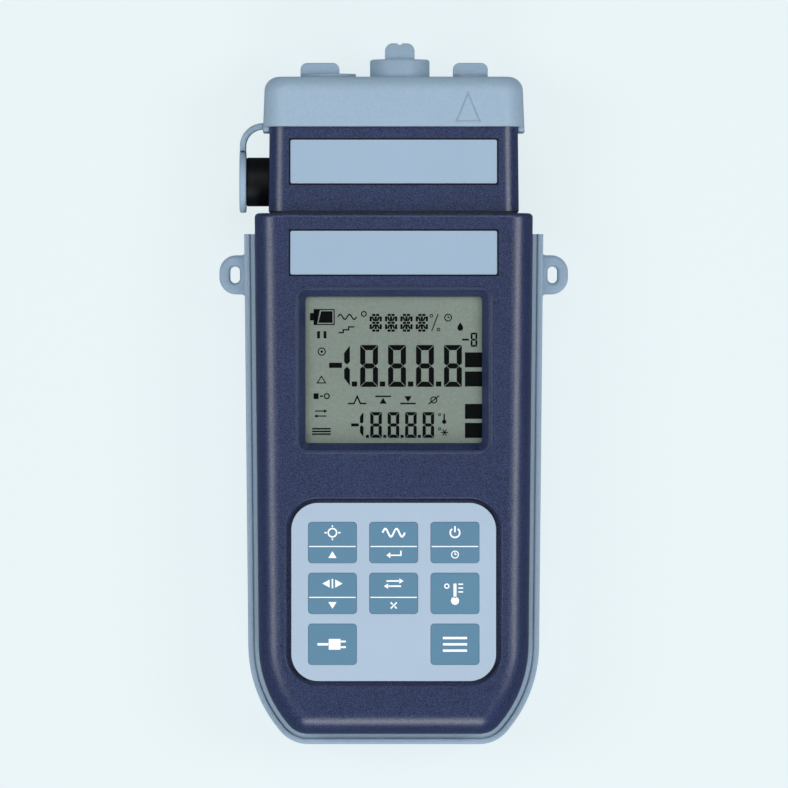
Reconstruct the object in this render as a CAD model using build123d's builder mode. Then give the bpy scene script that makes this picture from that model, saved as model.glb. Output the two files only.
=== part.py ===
from build123d import *
import os
from math import cos, pi, sin

os.makedirs("parts", exist_ok=True)

# A hand-held pH meter lying on its back. X runs to its right, Y towards its sockets and
# Z out of its front. The origin is on the floor, under the middle of its outline.
# Every size is in millimetres.

# Lengths along the meter, from the foot of the boot to the tip of the tall cap
boot_side = 3.1
case_length = 145.6
head_showing = 24.2
cover_length = 14.0
bnc_cap_showing = 5.1
bnc_tab_height = 4.6

# Outline of the case, seen from the front
case_top_width = 77.8
case_hip_width = 75.1
case_foot_width = 54.7
case_hip_height = 12.5
case_hip_radius = 34.0
case_foot_radius = 7.0

# Depths of the case and the roundings of its edges
boot_back = 2.0
case_depth = 38.0
rear_case_depth = 20.0
front_wall = 2.4
side_wall = 2.4
back_wall = 2.2
case_front_round = 6.0
case_back_round = 3.0
case_end_round = 1.2

# Connector head, the block that carries the sockets
head_low_width = 70.0
head_high_width = 69.2
head_depth = 31.8
head_back_step = 3.0
head_wall = 2.3
head_roof = 7.0
head_round = 4.3
head_end_round = 1.0
head_inside_round = 1.5
head_taper_room = 0.4
neck_step = 1.6
neck_clearance = 0.2
flange_reach = 1.9
flange_thickness = 2.0
head_gasket_thickness = 0.6
head_gasket_setback = 0.3

# Rubber cover of the head
cover_roof = 2.0
cover_side = 1.4
cover_front = 1.6
cover_round = 7.0
cover_top_round = 4.0
cover_skirt = 1.3
cover_skirt_step = 5.0
cover_clearance = 0.1
cover_flare = 0.62

# Rubber boot
boot_height = 26.5
boot_length = 143.0
boot_gap = 0.15
boot_bead_width = 1.7
boot_bead_height = 0.7
boot_back_round = 4.0
boot_bead_round = 0.6
boot_window_gap = 1.2
ear_length = 11.0
ear_reach = 7.2
ear_round = 4.7
ear_root_round = 1.2
ear_thickness = 4.6
ear_height = 11.5
ear_edge_round = 1.1
ear_slot_width = 2.7
ear_slot_length = 4.7
ear_slot_offset = 2.8
ear_place = 11.3

# Name plates, bare
plate_width = 57.7
plate_height = 12.2
plate_thickness = 0.4
plate_recess = 0.5
plate_gap = 0.25
plate_corner = 0.6
head_plate_offset = 9.8
body_plate_offset = 11.1

# Display opening, window and liquid crystal
view_width = 49.3
view_height = 40.9
view_corner = 1.0
view_offset = 43.8
rim_reach_side = 2.8
rim_reach_end = 2.95
rim_corner = 3.5
rim_thickness = 0.9
rim_rise = 0.35
window_lap = 1.6
window_thickness = 1.5
window_corner = 1.5
lcd_lap = 2.0
lcd_thickness = 2.8
lcd_gap = 0.2
lcd_frame_wall = 1.8
lcd_frame_lip = 1.0
lcd_frame_corner = 1.0
lcd_ledge = 0.6
zebra_width = 1.6
zebra_setback = 0.3
zebra_end_setback = 2.0

# Keypad
recess_groove_side = 1.45
recess_groove_end = 1.15
recess_depth = 2.0
recess_floor = 1.6
recess_floor_reach = 2.0
recess_chamfer = 0.25
recess_offset = 105.8
overlay_width = 57.1
overlay_height = 49.7
overlay_corner = 7.5
overlay_thickness = 0.5
circuit_thickness = 0.3
spacer_thickness = 0.7
key_width = 13.5
key_height = 11.4
key_corner = 1.0
key_proud = 0.12
key_gap = 0.08
key_lip = 0.5
key_lip_thickness = 0.3
key_pitch_x = 17.1
key_pitch_y = 14.2
key_grid_drop = 0.4
dome_radius = 4.0
dome_crown_radius = 1.8
dome_gap = 0.03
circuit_setback = 0.3
tail_width = 10.0
tail_setback = 3.0
tail_slot_gap = 0.5
tail_socket_width = 14.0
tail_socket_length = 4.0
tail_socket_height = 2.6

# Boards
board_width = 67.0
board_thickness = 1.6
board_corner = 7.0
board_setback = 9.5
board_top_setback = 14.6
board_foot_setback = 14.4
board_screw_inset = 6.0
board_screw_rise = 7.4
board_screw_gap = 0.3
socket_board_width = 60.0
socket_board_height = 25.6
socket_board_drop = 9.6
socket_board_corner = 1.5
socket_screw_inset_x = 3.0
socket_screw_inset_z = 3.8
capacitor_radius = 3.1
capacitor_height = 6.2
capacitor_x = 25.0
capacitor_drop = 14.0
capacitor_pitch = 7.0
header_width = 14.0
header_length = 5.0
header_height = 4.6
header_setback = 5.0
cable_thickness = 0.8
cable_width = 10.0
cable_bend = 4.0
cable_rise = 7.0
cable_run = 5.0
cable_neck_run = 4.0

# Screws and their brass inserts
screw_radius = 1.4
screw_head_radius = 2.6
screw_head_height = 1.8
screw_head_sink = 0.6
screw_cross_length = 2.8
screw_cross_width = 0.7
screw_cross_depth = 1.0
insert_radius = 2.1
insert_length = 6.0
insert_relief = 2.0
insert_floor = 1.5
fastener_clearance = 0.1
post_radius = 3.3
board_post_radius = 2.6
board_screw_radius = 1.1
board_screw_head = 2.1
board_screw_head_height = 1.3
board_screw_grip = 4.0
board_screw_room = 1.5
case_screw_top_x = 32.0
case_screw_top_setback = 10.6
case_screw_foot_x = 22.0
case_screw_foot_setback = 6.8

# Battery bay and its cover
cell_radius = 7.1
cell_length = 50.5
cell_nub_radius = 2.75
cell_nub_length = 1.2
cell_pitch = 14.9
cell_count = 4
cell_gap = 0.3
bay_wall = 1.6
bay_play = 0.4
bay_foot_setback = 19.0
cell_floor_gap = 0.8
cell_round = 0.6
contact_thickness = 0.5
contact_width = 9.0
spring_depth = 3.8
spring_thickness = 0.35
spring_width = 5.0
spring_inset = 0.6
lead_width = 3.0
lead_gap = 0.3
cover_thickness = 2.0
cover_lap = 3.0
cover_hook_end = 7.2
cover_screw_end = 8.0
cover_screw_place = 3.5
cover_gap = 0.15
cover_corner = 6.0
collar_height = 2.4
collar_wall = 3.4
gasket_setback = 0.5
gasket_width = 1.3
gasket_depth = 0.8
hook_width = 10.0
hook_x = 18.0
hook_reach = 3.0
hook_thickness = 1.5
hook_wall_gap = 0.2
hook_stem = 2.4
hook_stem_setback = 1.7
hook_room = 0.6
hook_swing_room = 1.9
hook_pocket_height = 6.4
hook_pocket_wall = 1.3
grip_place = 14.0
grip_length = 22.0
grip_width = 1.4
grip_pitch = 3.0
grip_depth = 0.5
cover_screw_shank = 5.0
cover_screw_cross_length = 3.0
cover_screw_cross_depth = 0.6
cover_screw_sink = 0.1

# Coaxial socket for the electrode and its tall cap
bnc_x = 1.7
bnc_barrel_radius = 4.83
bnc_barrel_bore = 4.1
bnc_barrel_length = 9.0
bnc_flange_radius = 6.3
bnc_flange_thickness = 1.0
bnc_stud_span = 10.95
bnc_stud_radius = 1.0
bnc_stud_setback = 5.0
bnc_thread_radius = 4.7
bnc_thread_length = 7.0
bnc_nose_radius = 2.4
bnc_pin_radius = 1.1
bnc_pin_bore = 0.68
bnc_pin_bore_depth = 5.0
bnc_nose_setback = 2.8
bnc_face_rise = 1.4
bnc_nut_radius = 7.0
bnc_nut_thickness = 2.4
bnc_washer_thickness = 0.7
bnc_well_depth = 4.5
bnc_cap_radius = 8.35
bnc_cap_bore = 6.0
bnc_cap_round = 0.7
bnc_cap_foot_gap = 0.4
bnc_tab_width = 8.3
bnc_tab_thickness = 3.4
bnc_tab_round = 2.2
bnc_tab_notch = 0.45
soft_fit = 0.3

# Round eight-pole socket for the temperature probe and its plug
din_x = -18.3
din_shell_radius = 8.1
din_bore = 6.9
din_insert_radius = 6.5
din_length = 11.6
din_mouth_depth = 4.8
din_entry_radius = 7.1
din_entry_depth = 1.2
din_flange_radius = 9.3
din_flange_thickness = 1.2
din_contact_radius = 0.75
din_contact_circle = 3.6
din_contact_count = 7
din_contact_setback = 0.1
din_contact_bore = 0.41
din_contact_bore_depth = 4.0
temperature_disc_radius = 7.7
temperature_disc_thickness = 1.0
temperature_tab_width = 10.9
temperature_tab_height = 4.2
temperature_tab_shift = -2.4
temperature_stem_depth = 3.0
temperature_stem_wall = 1.7
plug_tab_thickness = 3.6
plug_tab_round = 1.9

# Power socket and its plug
power_x = 21.5
power_nose_radius = 4.3
power_bore = 2.85
power_bore_depth = 9.5
power_pin_radius = 1.05
power_pin_setback = 1.0
power_pin_foot = 2.4
power_body_width = 10.0
power_body_height = 12.0
power_tab_width = 9.8
power_tab_height = 4.2
power_foot_thickness = 0.8
power_stem_radius = 2.55
power_stem_bore = 1.4
power_stem_depth = 6.0

# Serial socket on the left side, its plug and strap
serial_drop = 15.2
serial_reach = 6.3
serial_collar_radius = 6.85
serial_bore = 5.2
serial_insert_radius = 4.8
serial_mouth_depth = 5.4
serial_entry_radius = 5.4
serial_entry_depth = 1.4
serial_flange_radius = 7.6
serial_flange_thickness = 1.4
serial_contact_radius = 0.45
serial_contact_circle = 3.3
serial_contact_count = 8
serial_contact_tail = 2.5
serial_back = 2.0
serial_lead_width = 8.0
serial_lead_run = 5.0
serial_lead_bend = 3.0
serial_disc_radius = 8.65
serial_disc_thickness = 1.9
serial_disc_round = 0.5
serial_stub_depth = 1.2
serial_stub_wall = 1.6
serial_mouth_chamfer = 0.3
strap_thickness = 1.75
strap_width = 6.0
strap_bend = 0.96
strap_drop = 0.4

# Triangle pressed into the front of the rubber cover
triangle_x = 20.75
triangle_width = 6.9
triangle_foot = 1.4
triangle_top_setback = 4.3
triangle_line = 0.3
triangle_depth = 0.2

# Seal between the two shells, as shares of the wall it lies in
seal_outside = 0.3
seal_inside = 0.7
seal_depth = 0.8
seal_end_setback = 3.0

# Small everyday clearances, and how far a cut runs past the face that it opens
seat = 0.05
press_gap = 0.05
insert_setback = 0.2
thin_gap = 0.02
overrun = 1.0

# Sizes that follow from others
rim_width = view_width + 2 * rim_reach_side
rim_height = view_height + 2 * rim_reach_end
recess_width = overlay_width + 2 * recess_groove_side
recess_height = overlay_height + 2 * recess_groove_end
recess_corner = overlay_corner + recess_groove_side
lcd_width = view_width + 2 * lcd_lap
lcd_height = view_height + 2 * lcd_lap
lcd_frame_width = lcd_width + 2 * lcd_frame_wall
lcd_frame_height = lcd_height + 2 * lcd_frame_wall

# Levels along Y
overall_length = (
    boot_side + case_length + head_showing + cover_length + bnc_cap_showing + bnc_tab_height
)
y_boot_foot = -overall_length / 2
y_case_foot = y_boot_foot + boot_side
y_case_top = y_case_foot + case_length
y_shoulder = y_case_top + head_gasket_thickness
y_cover_mouth = y_case_top + head_showing
y_cover_top = y_cover_mouth + cover_length
y_head_top = y_cover_top - cover_roof
y_roof_inside = y_head_top - head_roof
y_cap_top = y_cover_top + bnc_cap_showing
y_boot_top = y_boot_foot + boot_length

# Levels along Z
z_back = boot_back
z_front = z_back + case_depth
z_split = z_back + rear_case_depth
z_cavity_back = z_back + back_wall
z_cavity_front = z_front - front_wall
z_head_back = z_back + head_back_step
z_head_front = z_head_back + head_depth
z_ports = z_head_back + head_depth / 2
z_recess = z_front - recess_depth
z_circuit_top = z_recess + circuit_thickness
z_spacer_top = z_circuit_top + spacer_thickness
z_window_back = z_cavity_front - window_thickness
z_lcd_top = z_window_back - lcd_gap
z_lcd_back = z_lcd_top - lcd_thickness
z_board_top = z_front - board_setback - seat
z_board_back = z_board_top - board_thickness

# Places of the front features
y_view = y_case_top - view_offset
y_pad = y_case_top - recess_offset
y_body_plate = y_case_top - body_plate_offset
y_head_plate = y_cover_mouth - head_plate_offset
y_serial = y_cover_mouth - serial_drop
y_ear = y_boot_top - ear_place
y_board_top = y_case_top - board_top_setback
y_board_foot = y_case_foot + board_foot_setback

# Places of the battery bay
bay_width = cell_pitch * cell_count + bay_play
bay_length = cell_length + spring_depth + 2 * contact_thickness + 2 * cell_gap
y_bay_foot = y_case_foot + bay_foot_setback
y_bay_top = y_bay_foot + bay_length
y_bay = (y_bay_foot + y_bay_top) / 2
y_cover_foot = y_bay_foot - cover_screw_end
y_hinge = y_bay_top + cover_hook_end
y_cover_screw = y_cover_foot + cover_screw_place
battery_cover_width = bay_width + 2 * cover_lap
battery_cover_length = y_hinge - y_cover_foot
y_battery_cover = (y_hinge + y_cover_foot) / 2
z_ledge = z_back + cover_thickness + seat
z_collar_top = z_ledge + collar_height
z_cell = z_back + cover_thickness + cell_floor_gap + cell_radius
z_bay_roof = z_cell + cell_radius + cell_gap


def end_plane(y):
    """Sketch plane across the meter: its axes are X and Z, and a solid grows towards the foot."""
    return Plane.XZ.offset(-y)


def side_plane(x):
    """Sketch plane along the meter's side: its axes are Y and Z, and a solid grows to the right."""
    return Plane.YZ.offset(x)


def finish(part, name):
    """Name a finished piece and write it."""
    part.label = name
    export_step(part, f"parts/{name}.step")


def case_outline(grow=0.0):
    """The case seen from the front: nearly straight sides, wide hips and a short flat foot."""
    half_top = case_top_width / 2
    half_hip = case_hip_width / 2
    half_foot = case_foot_width / 2
    y_hip = y_case_foot + case_hip_height
    with BuildSketch() as outline:
        with BuildLine():
            FilletPolyline(
                (half_top, y_case_top),
                (half_hip, y_hip),
                (half_foot, y_case_foot),
                (-half_foot, y_case_foot),
                (-half_hip, y_hip),
                (-half_top, y_case_top),
                radius=[case_hip_radius, case_foot_radius, case_foot_radius, case_hip_radius],
            )
            Line((-half_top, y_case_top), (half_top, y_case_top))
        make_face()
        if grow:
            offset(amount=grow, kind=Kind.INTERSECTION)
    return outline.sketch


def case_form(grow, z_low, z_high, front_round, back_round, end_round=0.0):
    """The case's form between two heights, larger all round by grow, with its edges rounded."""
    with BuildPart() as form:
        with BuildSketch(Plane.XY.offset(z_low)):
            add(case_outline(grow))
        extrude(amount=z_high - z_low)
        y_end = y_case_top + grow
        if front_round:
            rim = form.edges().group_by(Axis.Z)[-1]
            fillet(rim.filter_by(lambda edge: edge.center().Y < y_end - 1), front_round)
        if back_round:
            rim = form.edges().group_by(Axis.Z)[0]
            fillet(rim.filter_by(lambda edge: edge.center().Y < y_end - 1), back_round)
        if end_round:
            fillet(form.faces().sort_by(Axis.Y)[-1].edges(), end_round)
    return form.part


def head_half_width(y):
    """Half the head's width at y: it narrows a little towards its top."""
    share = (y - y_shoulder) / (y_head_top - y_shoulder)
    return (head_low_width + (head_high_width - head_low_width) * share) / 2


def head_form(half_low, half_high, y_low, y_high, z_low, z_high, edge_round, end_round=0.0):
    """A block across the head, rounded along its length and, if asked, round its top end."""
    with BuildPart() as block:
        with BuildSketch(Plane.XY.offset(z_low)):
            with BuildLine():
                Polyline(
                    (-half_low, y_low),
                    (half_low, y_low),
                    (half_high, y_high),
                    (-half_high, y_high),
                    close=True,
                )
            make_face()
        extrude(amount=z_high - z_low)
        fillet(block.edges().filter_by(lambda edge: abs((edge % 0.5).Y) > 0.9), edge_round)
        if end_round:
            fillet(block.faces().sort_by(Axis.Y)[-1].edges(), end_round)
    return block.part


def neck_form(step, y_low, y_high, edge_round):
    """A straight block as wide and deep as the head's shoulder less a step all round."""
    half = head_low_width / 2 - step
    return head_form(
        half, half, y_low, y_high, z_head_back + step, z_head_front - step, edge_round
    )


def key_places():
    """Columns and rows of the eight keys, and the names of what they do."""
    names = {
        (-1, 1): "key_up",
        (0, 1): "key_enter",
        (1, 1): "key_power",
        (-1, 0): "key_down",
        (0, 0): "key_escape",
        (1, 0): "key_units",
        (-1, -1): "key_serial",
        (1, -1): "key_menu",
    }
    y_grid = y_pad - key_grid_drop
    return {
        name: (column * key_pitch_x, y_grid + row * key_pitch_y)
        for (column, row), name in names.items()
    }


def case_screw_places():
    """The four case screws, two below the head and two at the foot."""
    y_top = y_case_top - case_screw_top_setback
    y_foot = y_case_foot + case_screw_foot_setback
    return [
        (-case_screw_top_x, y_top),
        (case_screw_top_x, y_top),
        (-case_screw_foot_x, y_foot),
        (case_screw_foot_x, y_foot),
    ]


def board_screw_places():
    """The six screws of the main board: above and below the display, and at the board's foot."""
    x = board_width / 2 - board_screw_inset
    y_above = y_view + lcd_frame_height / 2 + board_post_radius + board_screw_gap
    y_below = (y_view - lcd_frame_height / 2 + y_pad + recess_height / 2) / 2
    y_low = y_board_foot + board_screw_rise
    return [(side * x, y) for side in (-1, 1) for y in (y_above, y_below, y_low)]


def socket_screw_places():
    """The two screws that hold the socket board under the head's roof."""
    x = socket_board_width / 2 - socket_screw_inset_x
    z = socket_board_height / 2 - socket_screw_inset_z
    return [(-x, z_ports + z), (x, z_ports - z)]


def cell_places():
    """The cells' places across the bay, and the way that each one's plain end points."""
    first = -(cell_count - 1) / 2
    return [((first + i) * cell_pitch, 1 if i % 2 else -1) for i in range(cell_count)]


def contact_circle(radius, count):
    """Points of a ring of socket contacts, with its gap at the bottom."""
    step = 2 * pi / (count + 1)
    return [
        (radius * sin(step * (i + 1) + pi), radius * cos(step * (i + 1) + pi))
        for i in range(count)
    ]


# Front shell
with BuildPart() as front_case:
    add(case_form(0, z_back, z_front, case_front_round, case_back_round, case_end_round))
    split(bisect_by=Plane.XY.offset(z_split), keep=Keep.TOP)
    cavity_round = case_front_round - front_wall
    add(case_form(-side_wall, z_back, z_cavity_front, cavity_round, 0), mode=Mode.SUBTRACT)
    # Thicker floor behind the keypad
    with BuildSketch(Plane.XY.offset(z_recess)):
        with Locations((0, y_pad)):
            RectangleRounded(
                recess_width + 2 * recess_floor_reach,
                recess_height + 2 * recess_floor_reach,
                recess_corner + recess_floor_reach,
            )
    extrude(amount=-recess_floor)
    # Posts for the case screws and the board screws
    with BuildSketch(Plane.XY.offset(z_split)):
        with Locations(*case_screw_places()):
            Circle(post_radius)
    extrude(amount=z_cavity_front - z_split + seat)
    with BuildSketch(Plane.XY.offset(z_board_top + seat)):
        with Locations(*board_screw_places()):
            Circle(board_post_radius)
    extrude(amount=z_cavity_front - z_board_top)
    with BuildSketch(Plane.XY.offset(z_split)):
        with Locations(*case_screw_places()):
            Circle(insert_radius + press_gap)
    extrude(amount=insert_length + insert_relief, mode=Mode.SUBTRACT)
    with BuildSketch(Plane.XY.offset(z_board_top)):
        with Locations(*board_screw_places()):
            Circle(board_screw_radius + press_gap)
    extrude(amount=board_screw_grip + board_screw_room, mode=Mode.SUBTRACT)
    # Raised rim and sloping opening of the display
    with BuildSketch(Plane.XY.offset(z_front - seat)):
        with Locations((0, y_view)):
            RectangleRounded(rim_width, rim_height, rim_corner)
    extrude(amount=rim_rise + seat)
    fillet(front_case.faces().sort_by(Axis.Z)[-1].edges(), rim_rise * 0.8)
    with BuildSketch(Plane.XY.offset(z_front + rim_rise)):
        with Locations((0, y_view)):
            RectangleRounded(
                rim_width - 2 * rim_thickness,
                rim_height - 2 * rim_thickness,
                rim_corner - rim_thickness,
            )
    with BuildSketch(Plane.XY.offset(z_cavity_front)):
        with Locations((0, y_view)):
            RectangleRounded(view_width, view_height, view_corner)
    loft(mode=Mode.SUBTRACT)
    # Recess of the keypad, with a slot for its ribbon tail
    with BuildSketch(Plane.XY.offset(z_front)):
        with Locations((0, y_pad)):
            RectangleRounded(recess_width, recess_height, recess_corner)
    extrude(amount=-recess_depth, mode=Mode.SUBTRACT)
    lip = front_case.edges().filter_by(
        lambda edge: abs(edge.center().Z - z_front) < 0.01
        and abs(edge.center().X) < recess_width / 2 + overrun
        and abs(edge.center().Y - y_pad) < recess_height / 2 + overrun
    )
    chamfer(lip, recess_chamfer)
    y_tail = y_pad + overlay_height / 2 - tail_setback
    with BuildSketch(Plane.XY.offset(z_recess)):
        with Locations((0, y_tail)):
            Rectangle(tail_width + 2 * tail_slot_gap, circuit_thickness + 2 * tail_slot_gap)
    extrude(amount=-recess_floor - overrun, mode=Mode.SUBTRACT)
    # Recess of the body's name plate
    with BuildSketch(Plane.XY.offset(z_front)):
        with Locations((0, y_body_plate)):
            RectangleRounded(
                plate_width + 2 * plate_gap,
                plate_height + 2 * plate_gap,
                plate_corner + plate_gap,
            )
    extrude(amount=-plate_recess, mode=Mode.SUBTRACT)
    # Opening for the head's neck
    add(
        neck_form(
            neck_step - neck_clearance,
            y_case_top - side_wall - overrun,
            y_case_top + overrun,
            head_round - neck_step,
        ),
        mode=Mode.SUBTRACT,
    )
    # Groove for the seal in the parting face
    with BuildSketch(Plane.XY.offset(z_split)):
        add(case_outline(-side_wall * seal_outside))
        add(case_outline(-side_wall * seal_inside), mode=Mode.SUBTRACT)
        with Locations((0, y_case_top)):
            Rectangle(case_top_width, 2 * (side_wall + seal_end_setback), mode=Mode.SUBTRACT)
    extrude(amount=seal_depth, mode=Mode.SUBTRACT)
finish(front_case.part, "front_case")


# Rear shell
with BuildPart() as rear_case:
    add(case_form(0, z_back, z_front, case_front_round, case_back_round, case_end_round))
    split(bisect_by=Plane.XY.offset(z_split), keep=Keep.BOTTOM)
    cavity_round = case_back_round - back_wall
    add(case_form(-side_wall, z_cavity_back, z_front, 0, cavity_round), mode=Mode.SUBTRACT)
    # Collar round the battery opening, walls of the bay and pockets of the hooks
    with BuildSketch(Plane.XY.offset(z_back + seat)):
        with Locations((0, y_battery_cover)):
            RectangleRounded(
                battery_cover_width + 2 * collar_wall,
                battery_cover_length + 2 * collar_wall,
                cover_corner + collar_wall,
            )
    extrude(amount=z_collar_top - z_back - seat)
    add(case_form(0, z_back, z_split, 0, case_back_round, 0), mode=Mode.INTERSECT)
    with BuildSketch(Plane.XY.offset(z_back + seat)):
        with Locations((0, y_bay)):
            Rectangle(bay_width + 2 * bay_wall, bay_length + 2 * bay_wall)
    extrude(amount=z_bay_roof + bay_wall - z_back - seat)
    y_pocket = y_hinge - (hook_swing_room - hook_room) / 2
    pocket_width = hook_width + 2 * hook_room
    pocket_length = 2 * hook_reach + hook_room + hook_swing_room
    with BuildSketch(Plane.XY.offset(z_back + seat)):
        with Locations((-hook_x, y_pocket), (hook_x, y_pocket)):
            Rectangle(pocket_width + 2 * hook_pocket_wall, pocket_length + 2 * hook_pocket_wall)
    extrude(amount=z_ledge + hook_pocket_height + hook_pocket_wall - z_back - seat)
    with BuildSketch(Plane.XY.offset(z_back + seat)):
        with Locations((0, y_cover_screw)):
            Circle(post_radius)
    extrude(amount=z_ledge + insert_length + insert_floor - z_back - seat)
    # Posts of the case screws
    with BuildSketch(Plane.XY.offset(z_back + seat)):
        with Locations(*case_screw_places()):
            Circle(post_radius)
    extrude(amount=z_split - z_back - seat)
    # Recess of the battery cover, the bay and the room of the hooks
    with BuildSketch(Plane.XY.offset(z_back)):
        with Locations((0, y_battery_cover)):
            RectangleRounded(
                battery_cover_width + 2 * cover_gap,
                battery_cover_length + 2 * cover_gap,
                cover_corner + cover_gap,
            )
    extrude(amount=z_ledge - z_back, mode=Mode.SUBTRACT)
    with BuildSketch(Plane.XY.offset(z_back)):
        with Locations((0, y_bay)):
            Rectangle(bay_width, bay_length)
    extrude(amount=z_bay_roof - z_back, mode=Mode.SUBTRACT)
    with BuildSketch(Plane.XY.offset(z_ledge)):
        with Locations((-hook_x, y_pocket), (hook_x, y_pocket)):
            Rectangle(pocket_width, pocket_length)
    extrude(amount=hook_pocket_height, mode=Mode.SUBTRACT)
    # Groove of the battery gasket
    with BuildSketch(Plane.XY.offset(z_ledge)):
        with Locations((0, y_bay)):
            groove = 2 * (gasket_setback + gasket_width)
            Rectangle(bay_width + groove, bay_length + groove)
            Rectangle(
                bay_width + 2 * gasket_setback, bay_length + 2 * gasket_setback, mode=Mode.SUBTRACT
            )
    extrude(amount=gasket_depth, mode=Mode.SUBTRACT)
    # Holes for the screws, sunk for the heads of the case screws
    with Locations(Plane.XY.offset(z_back).rotated((180, 0, 0))):
        with Locations(*[(x, -y) for x, y in case_screw_places()]):
            CounterBoreHole(
                screw_radius + fastener_clearance,
                screw_head_radius + 3 * fastener_clearance,
                screw_head_height + screw_head_sink,
                rear_case_depth,
            )
    with BuildSketch(Plane.XY.offset(z_ledge)):
        with Locations((0, y_cover_screw)):
            Circle(insert_radius + press_gap)
    extrude(amount=insert_length, mode=Mode.SUBTRACT)
    # Slots in the bay's roof for the two leads of the cells
    with BuildSketch(Plane.XY.offset(z_bay_roof)):
        with Locations(
            (cell_places()[0][0], y_bay_top - contact_thickness),
            (cell_places()[-1][0], y_bay_top - contact_thickness),
        ):
            Rectangle(lead_width + 2 * lead_gap, 2 * contact_thickness + lead_gap)
    extrude(amount=bay_wall + overrun, mode=Mode.SUBTRACT)
    # Opening for the head's neck
    add(
        neck_form(
            neck_step - neck_clearance,
            y_case_top - side_wall - overrun,
            y_case_top + overrun,
            head_round - neck_step,
        ),
        mode=Mode.SUBTRACT,
    )
finish(rear_case.part, "rear_case")


# Rubber cord pressed between the two shells
with BuildPart() as case_seal:
    with BuildSketch(Plane.XY.offset(z_split)):
        add(case_outline(-side_wall * seal_outside - press_gap))
        add(case_outline(-side_wall * seal_inside + press_gap), mode=Mode.SUBTRACT)
        with Locations((0, y_case_top)):
            end_gap = 2 * (side_wall + seal_end_setback + press_gap)
            Rectangle(case_top_width, end_gap, mode=Mode.SUBTRACT)
    extrude(amount=seal_depth - press_gap)
finish(case_seal.part, "case_seal")


# Brass inserts for the case screws and for the screw of the battery cover
with BuildPart() as case_inserts:
    with BuildSketch(Plane.XY.offset(z_split)):
        with Locations(*case_screw_places()):
            Circle(insert_radius)
            Circle(screw_radius + fastener_clearance, mode=Mode.SUBTRACT)
    extrude(amount=insert_length)
    with BuildSketch(Plane.XY.offset(z_ledge)):
        with Locations((0, y_cover_screw)):
            Circle(insert_radius)
            Circle(screw_radius + 2 * fastener_clearance, mode=Mode.SUBTRACT)
    extrude(amount=insert_length)
finish(case_inserts.part, "case_inserts")


# Four screws that hold the two shells together, sunk into the back
with BuildPart() as case_screws:
    z_seat = z_back + screw_head_height + screw_head_sink
    with BuildSketch(Plane.XY.offset(z_seat)):
        with Locations(*case_screw_places()):
            Circle(screw_head_radius)
    extrude(amount=-screw_head_height)
    with BuildSketch(Plane.XY.offset(z_seat)):
        with Locations(*case_screw_places()):
            Circle(screw_radius)
    extrude(amount=z_split + insert_length - z_seat)
    with BuildSketch(Plane.XY.offset(z_seat - screw_head_height)):
        with Locations(*case_screw_places()):
            Rectangle(screw_cross_length, screw_cross_width)
            Rectangle(screw_cross_width, screw_cross_length)
    extrude(amount=screw_cross_depth, mode=Mode.SUBTRACT)
finish(case_screws.part, "case_screws")


# Block of the connector head, with its neck and the flange held inside the case
with BuildPart() as connector_head:
    add(
        head_form(
            head_low_width / 2,
            head_high_width / 2,
            y_shoulder,
            y_head_top,
            z_head_back,
            z_head_front,
            head_round,
            head_end_round,
        )
    )
    y_flange_top = y_case_top - side_wall - neck_clearance
    y_flange_foot = y_flange_top - flange_thickness
    add(neck_form(neck_step, y_flange_foot, y_shoulder + overrun, head_round - neck_step))
    add(neck_form(neck_step - flange_reach, y_flange_foot, y_flange_top, head_round))
    add(
        neck_form(
            head_wall + neck_step, y_flange_foot - overrun, y_shoulder + overrun, head_inside_round
        ),
        mode=Mode.SUBTRACT,
    )
    add(
        neck_form(
            head_wall + head_taper_room,
            y_shoulder + head_gasket_thickness,
            y_roof_inside,
            head_inside_round,
        ),
        mode=Mode.SUBTRACT,
    )
    # Well and panel hole of the coaxial socket
    with BuildSketch(end_plane(y_head_top)):
        with Locations((bnc_x, z_ports)):
            Circle(bnc_cap_radius + soft_fit)
    extrude(amount=bnc_well_depth, mode=Mode.SUBTRACT)
    with BuildSketch(end_plane(y_head_top)):
        with Locations((bnc_x, z_ports)):
            Circle(bnc_thread_radius + press_gap)
    extrude(amount=head_roof + overrun, mode=Mode.SUBTRACT)
    # Holes of the round socket and of the power socket
    with BuildSketch(end_plane(y_head_top)):
        with Locations((din_x, z_ports)):
            Circle(din_shell_radius + press_gap)
        with Locations((power_x, z_ports)):
            Circle(power_nose_radius + press_gap)
    extrude(amount=head_roof + overrun, mode=Mode.SUBTRACT)
    # Hole of the serial socket through the left wall
    with BuildSketch(side_plane(-head_low_width / 2 - overrun)):
        with Locations((y_serial, z_ports)):
            Circle(serial_collar_radius + press_gap)
    extrude(amount=head_wall + head_taper_room + 2 * overrun, mode=Mode.SUBTRACT)
    # Recess of the name plate
    with BuildSketch(Plane.XY.offset(z_head_front)):
        with Locations((0, y_head_plate)):
            RectangleRounded(
                plate_width + 2 * plate_gap,
                plate_height + 2 * plate_gap,
                plate_corner + plate_gap,
            )
    extrude(amount=-plate_recess, mode=Mode.SUBTRACT)
    # Posts under the roof for the socket board
    with BuildSketch(end_plane(y_roof_inside + seat)):
        with Locations(*socket_screw_places()):
            Circle(board_post_radius)
    extrude(amount=socket_board_drop - board_thickness)
    y_socket_board = y_roof_inside - socket_board_drop
    y_board_face = y_socket_board + board_thickness
    with BuildSketch(end_plane(y_board_face)):
        with Locations(*socket_screw_places()):
            Circle(board_screw_radius + press_gap)
    extrude(amount=-(board_screw_grip + board_screw_room), mode=Mode.SUBTRACT)
finish(connector_head.part, "connector_head")


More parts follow.
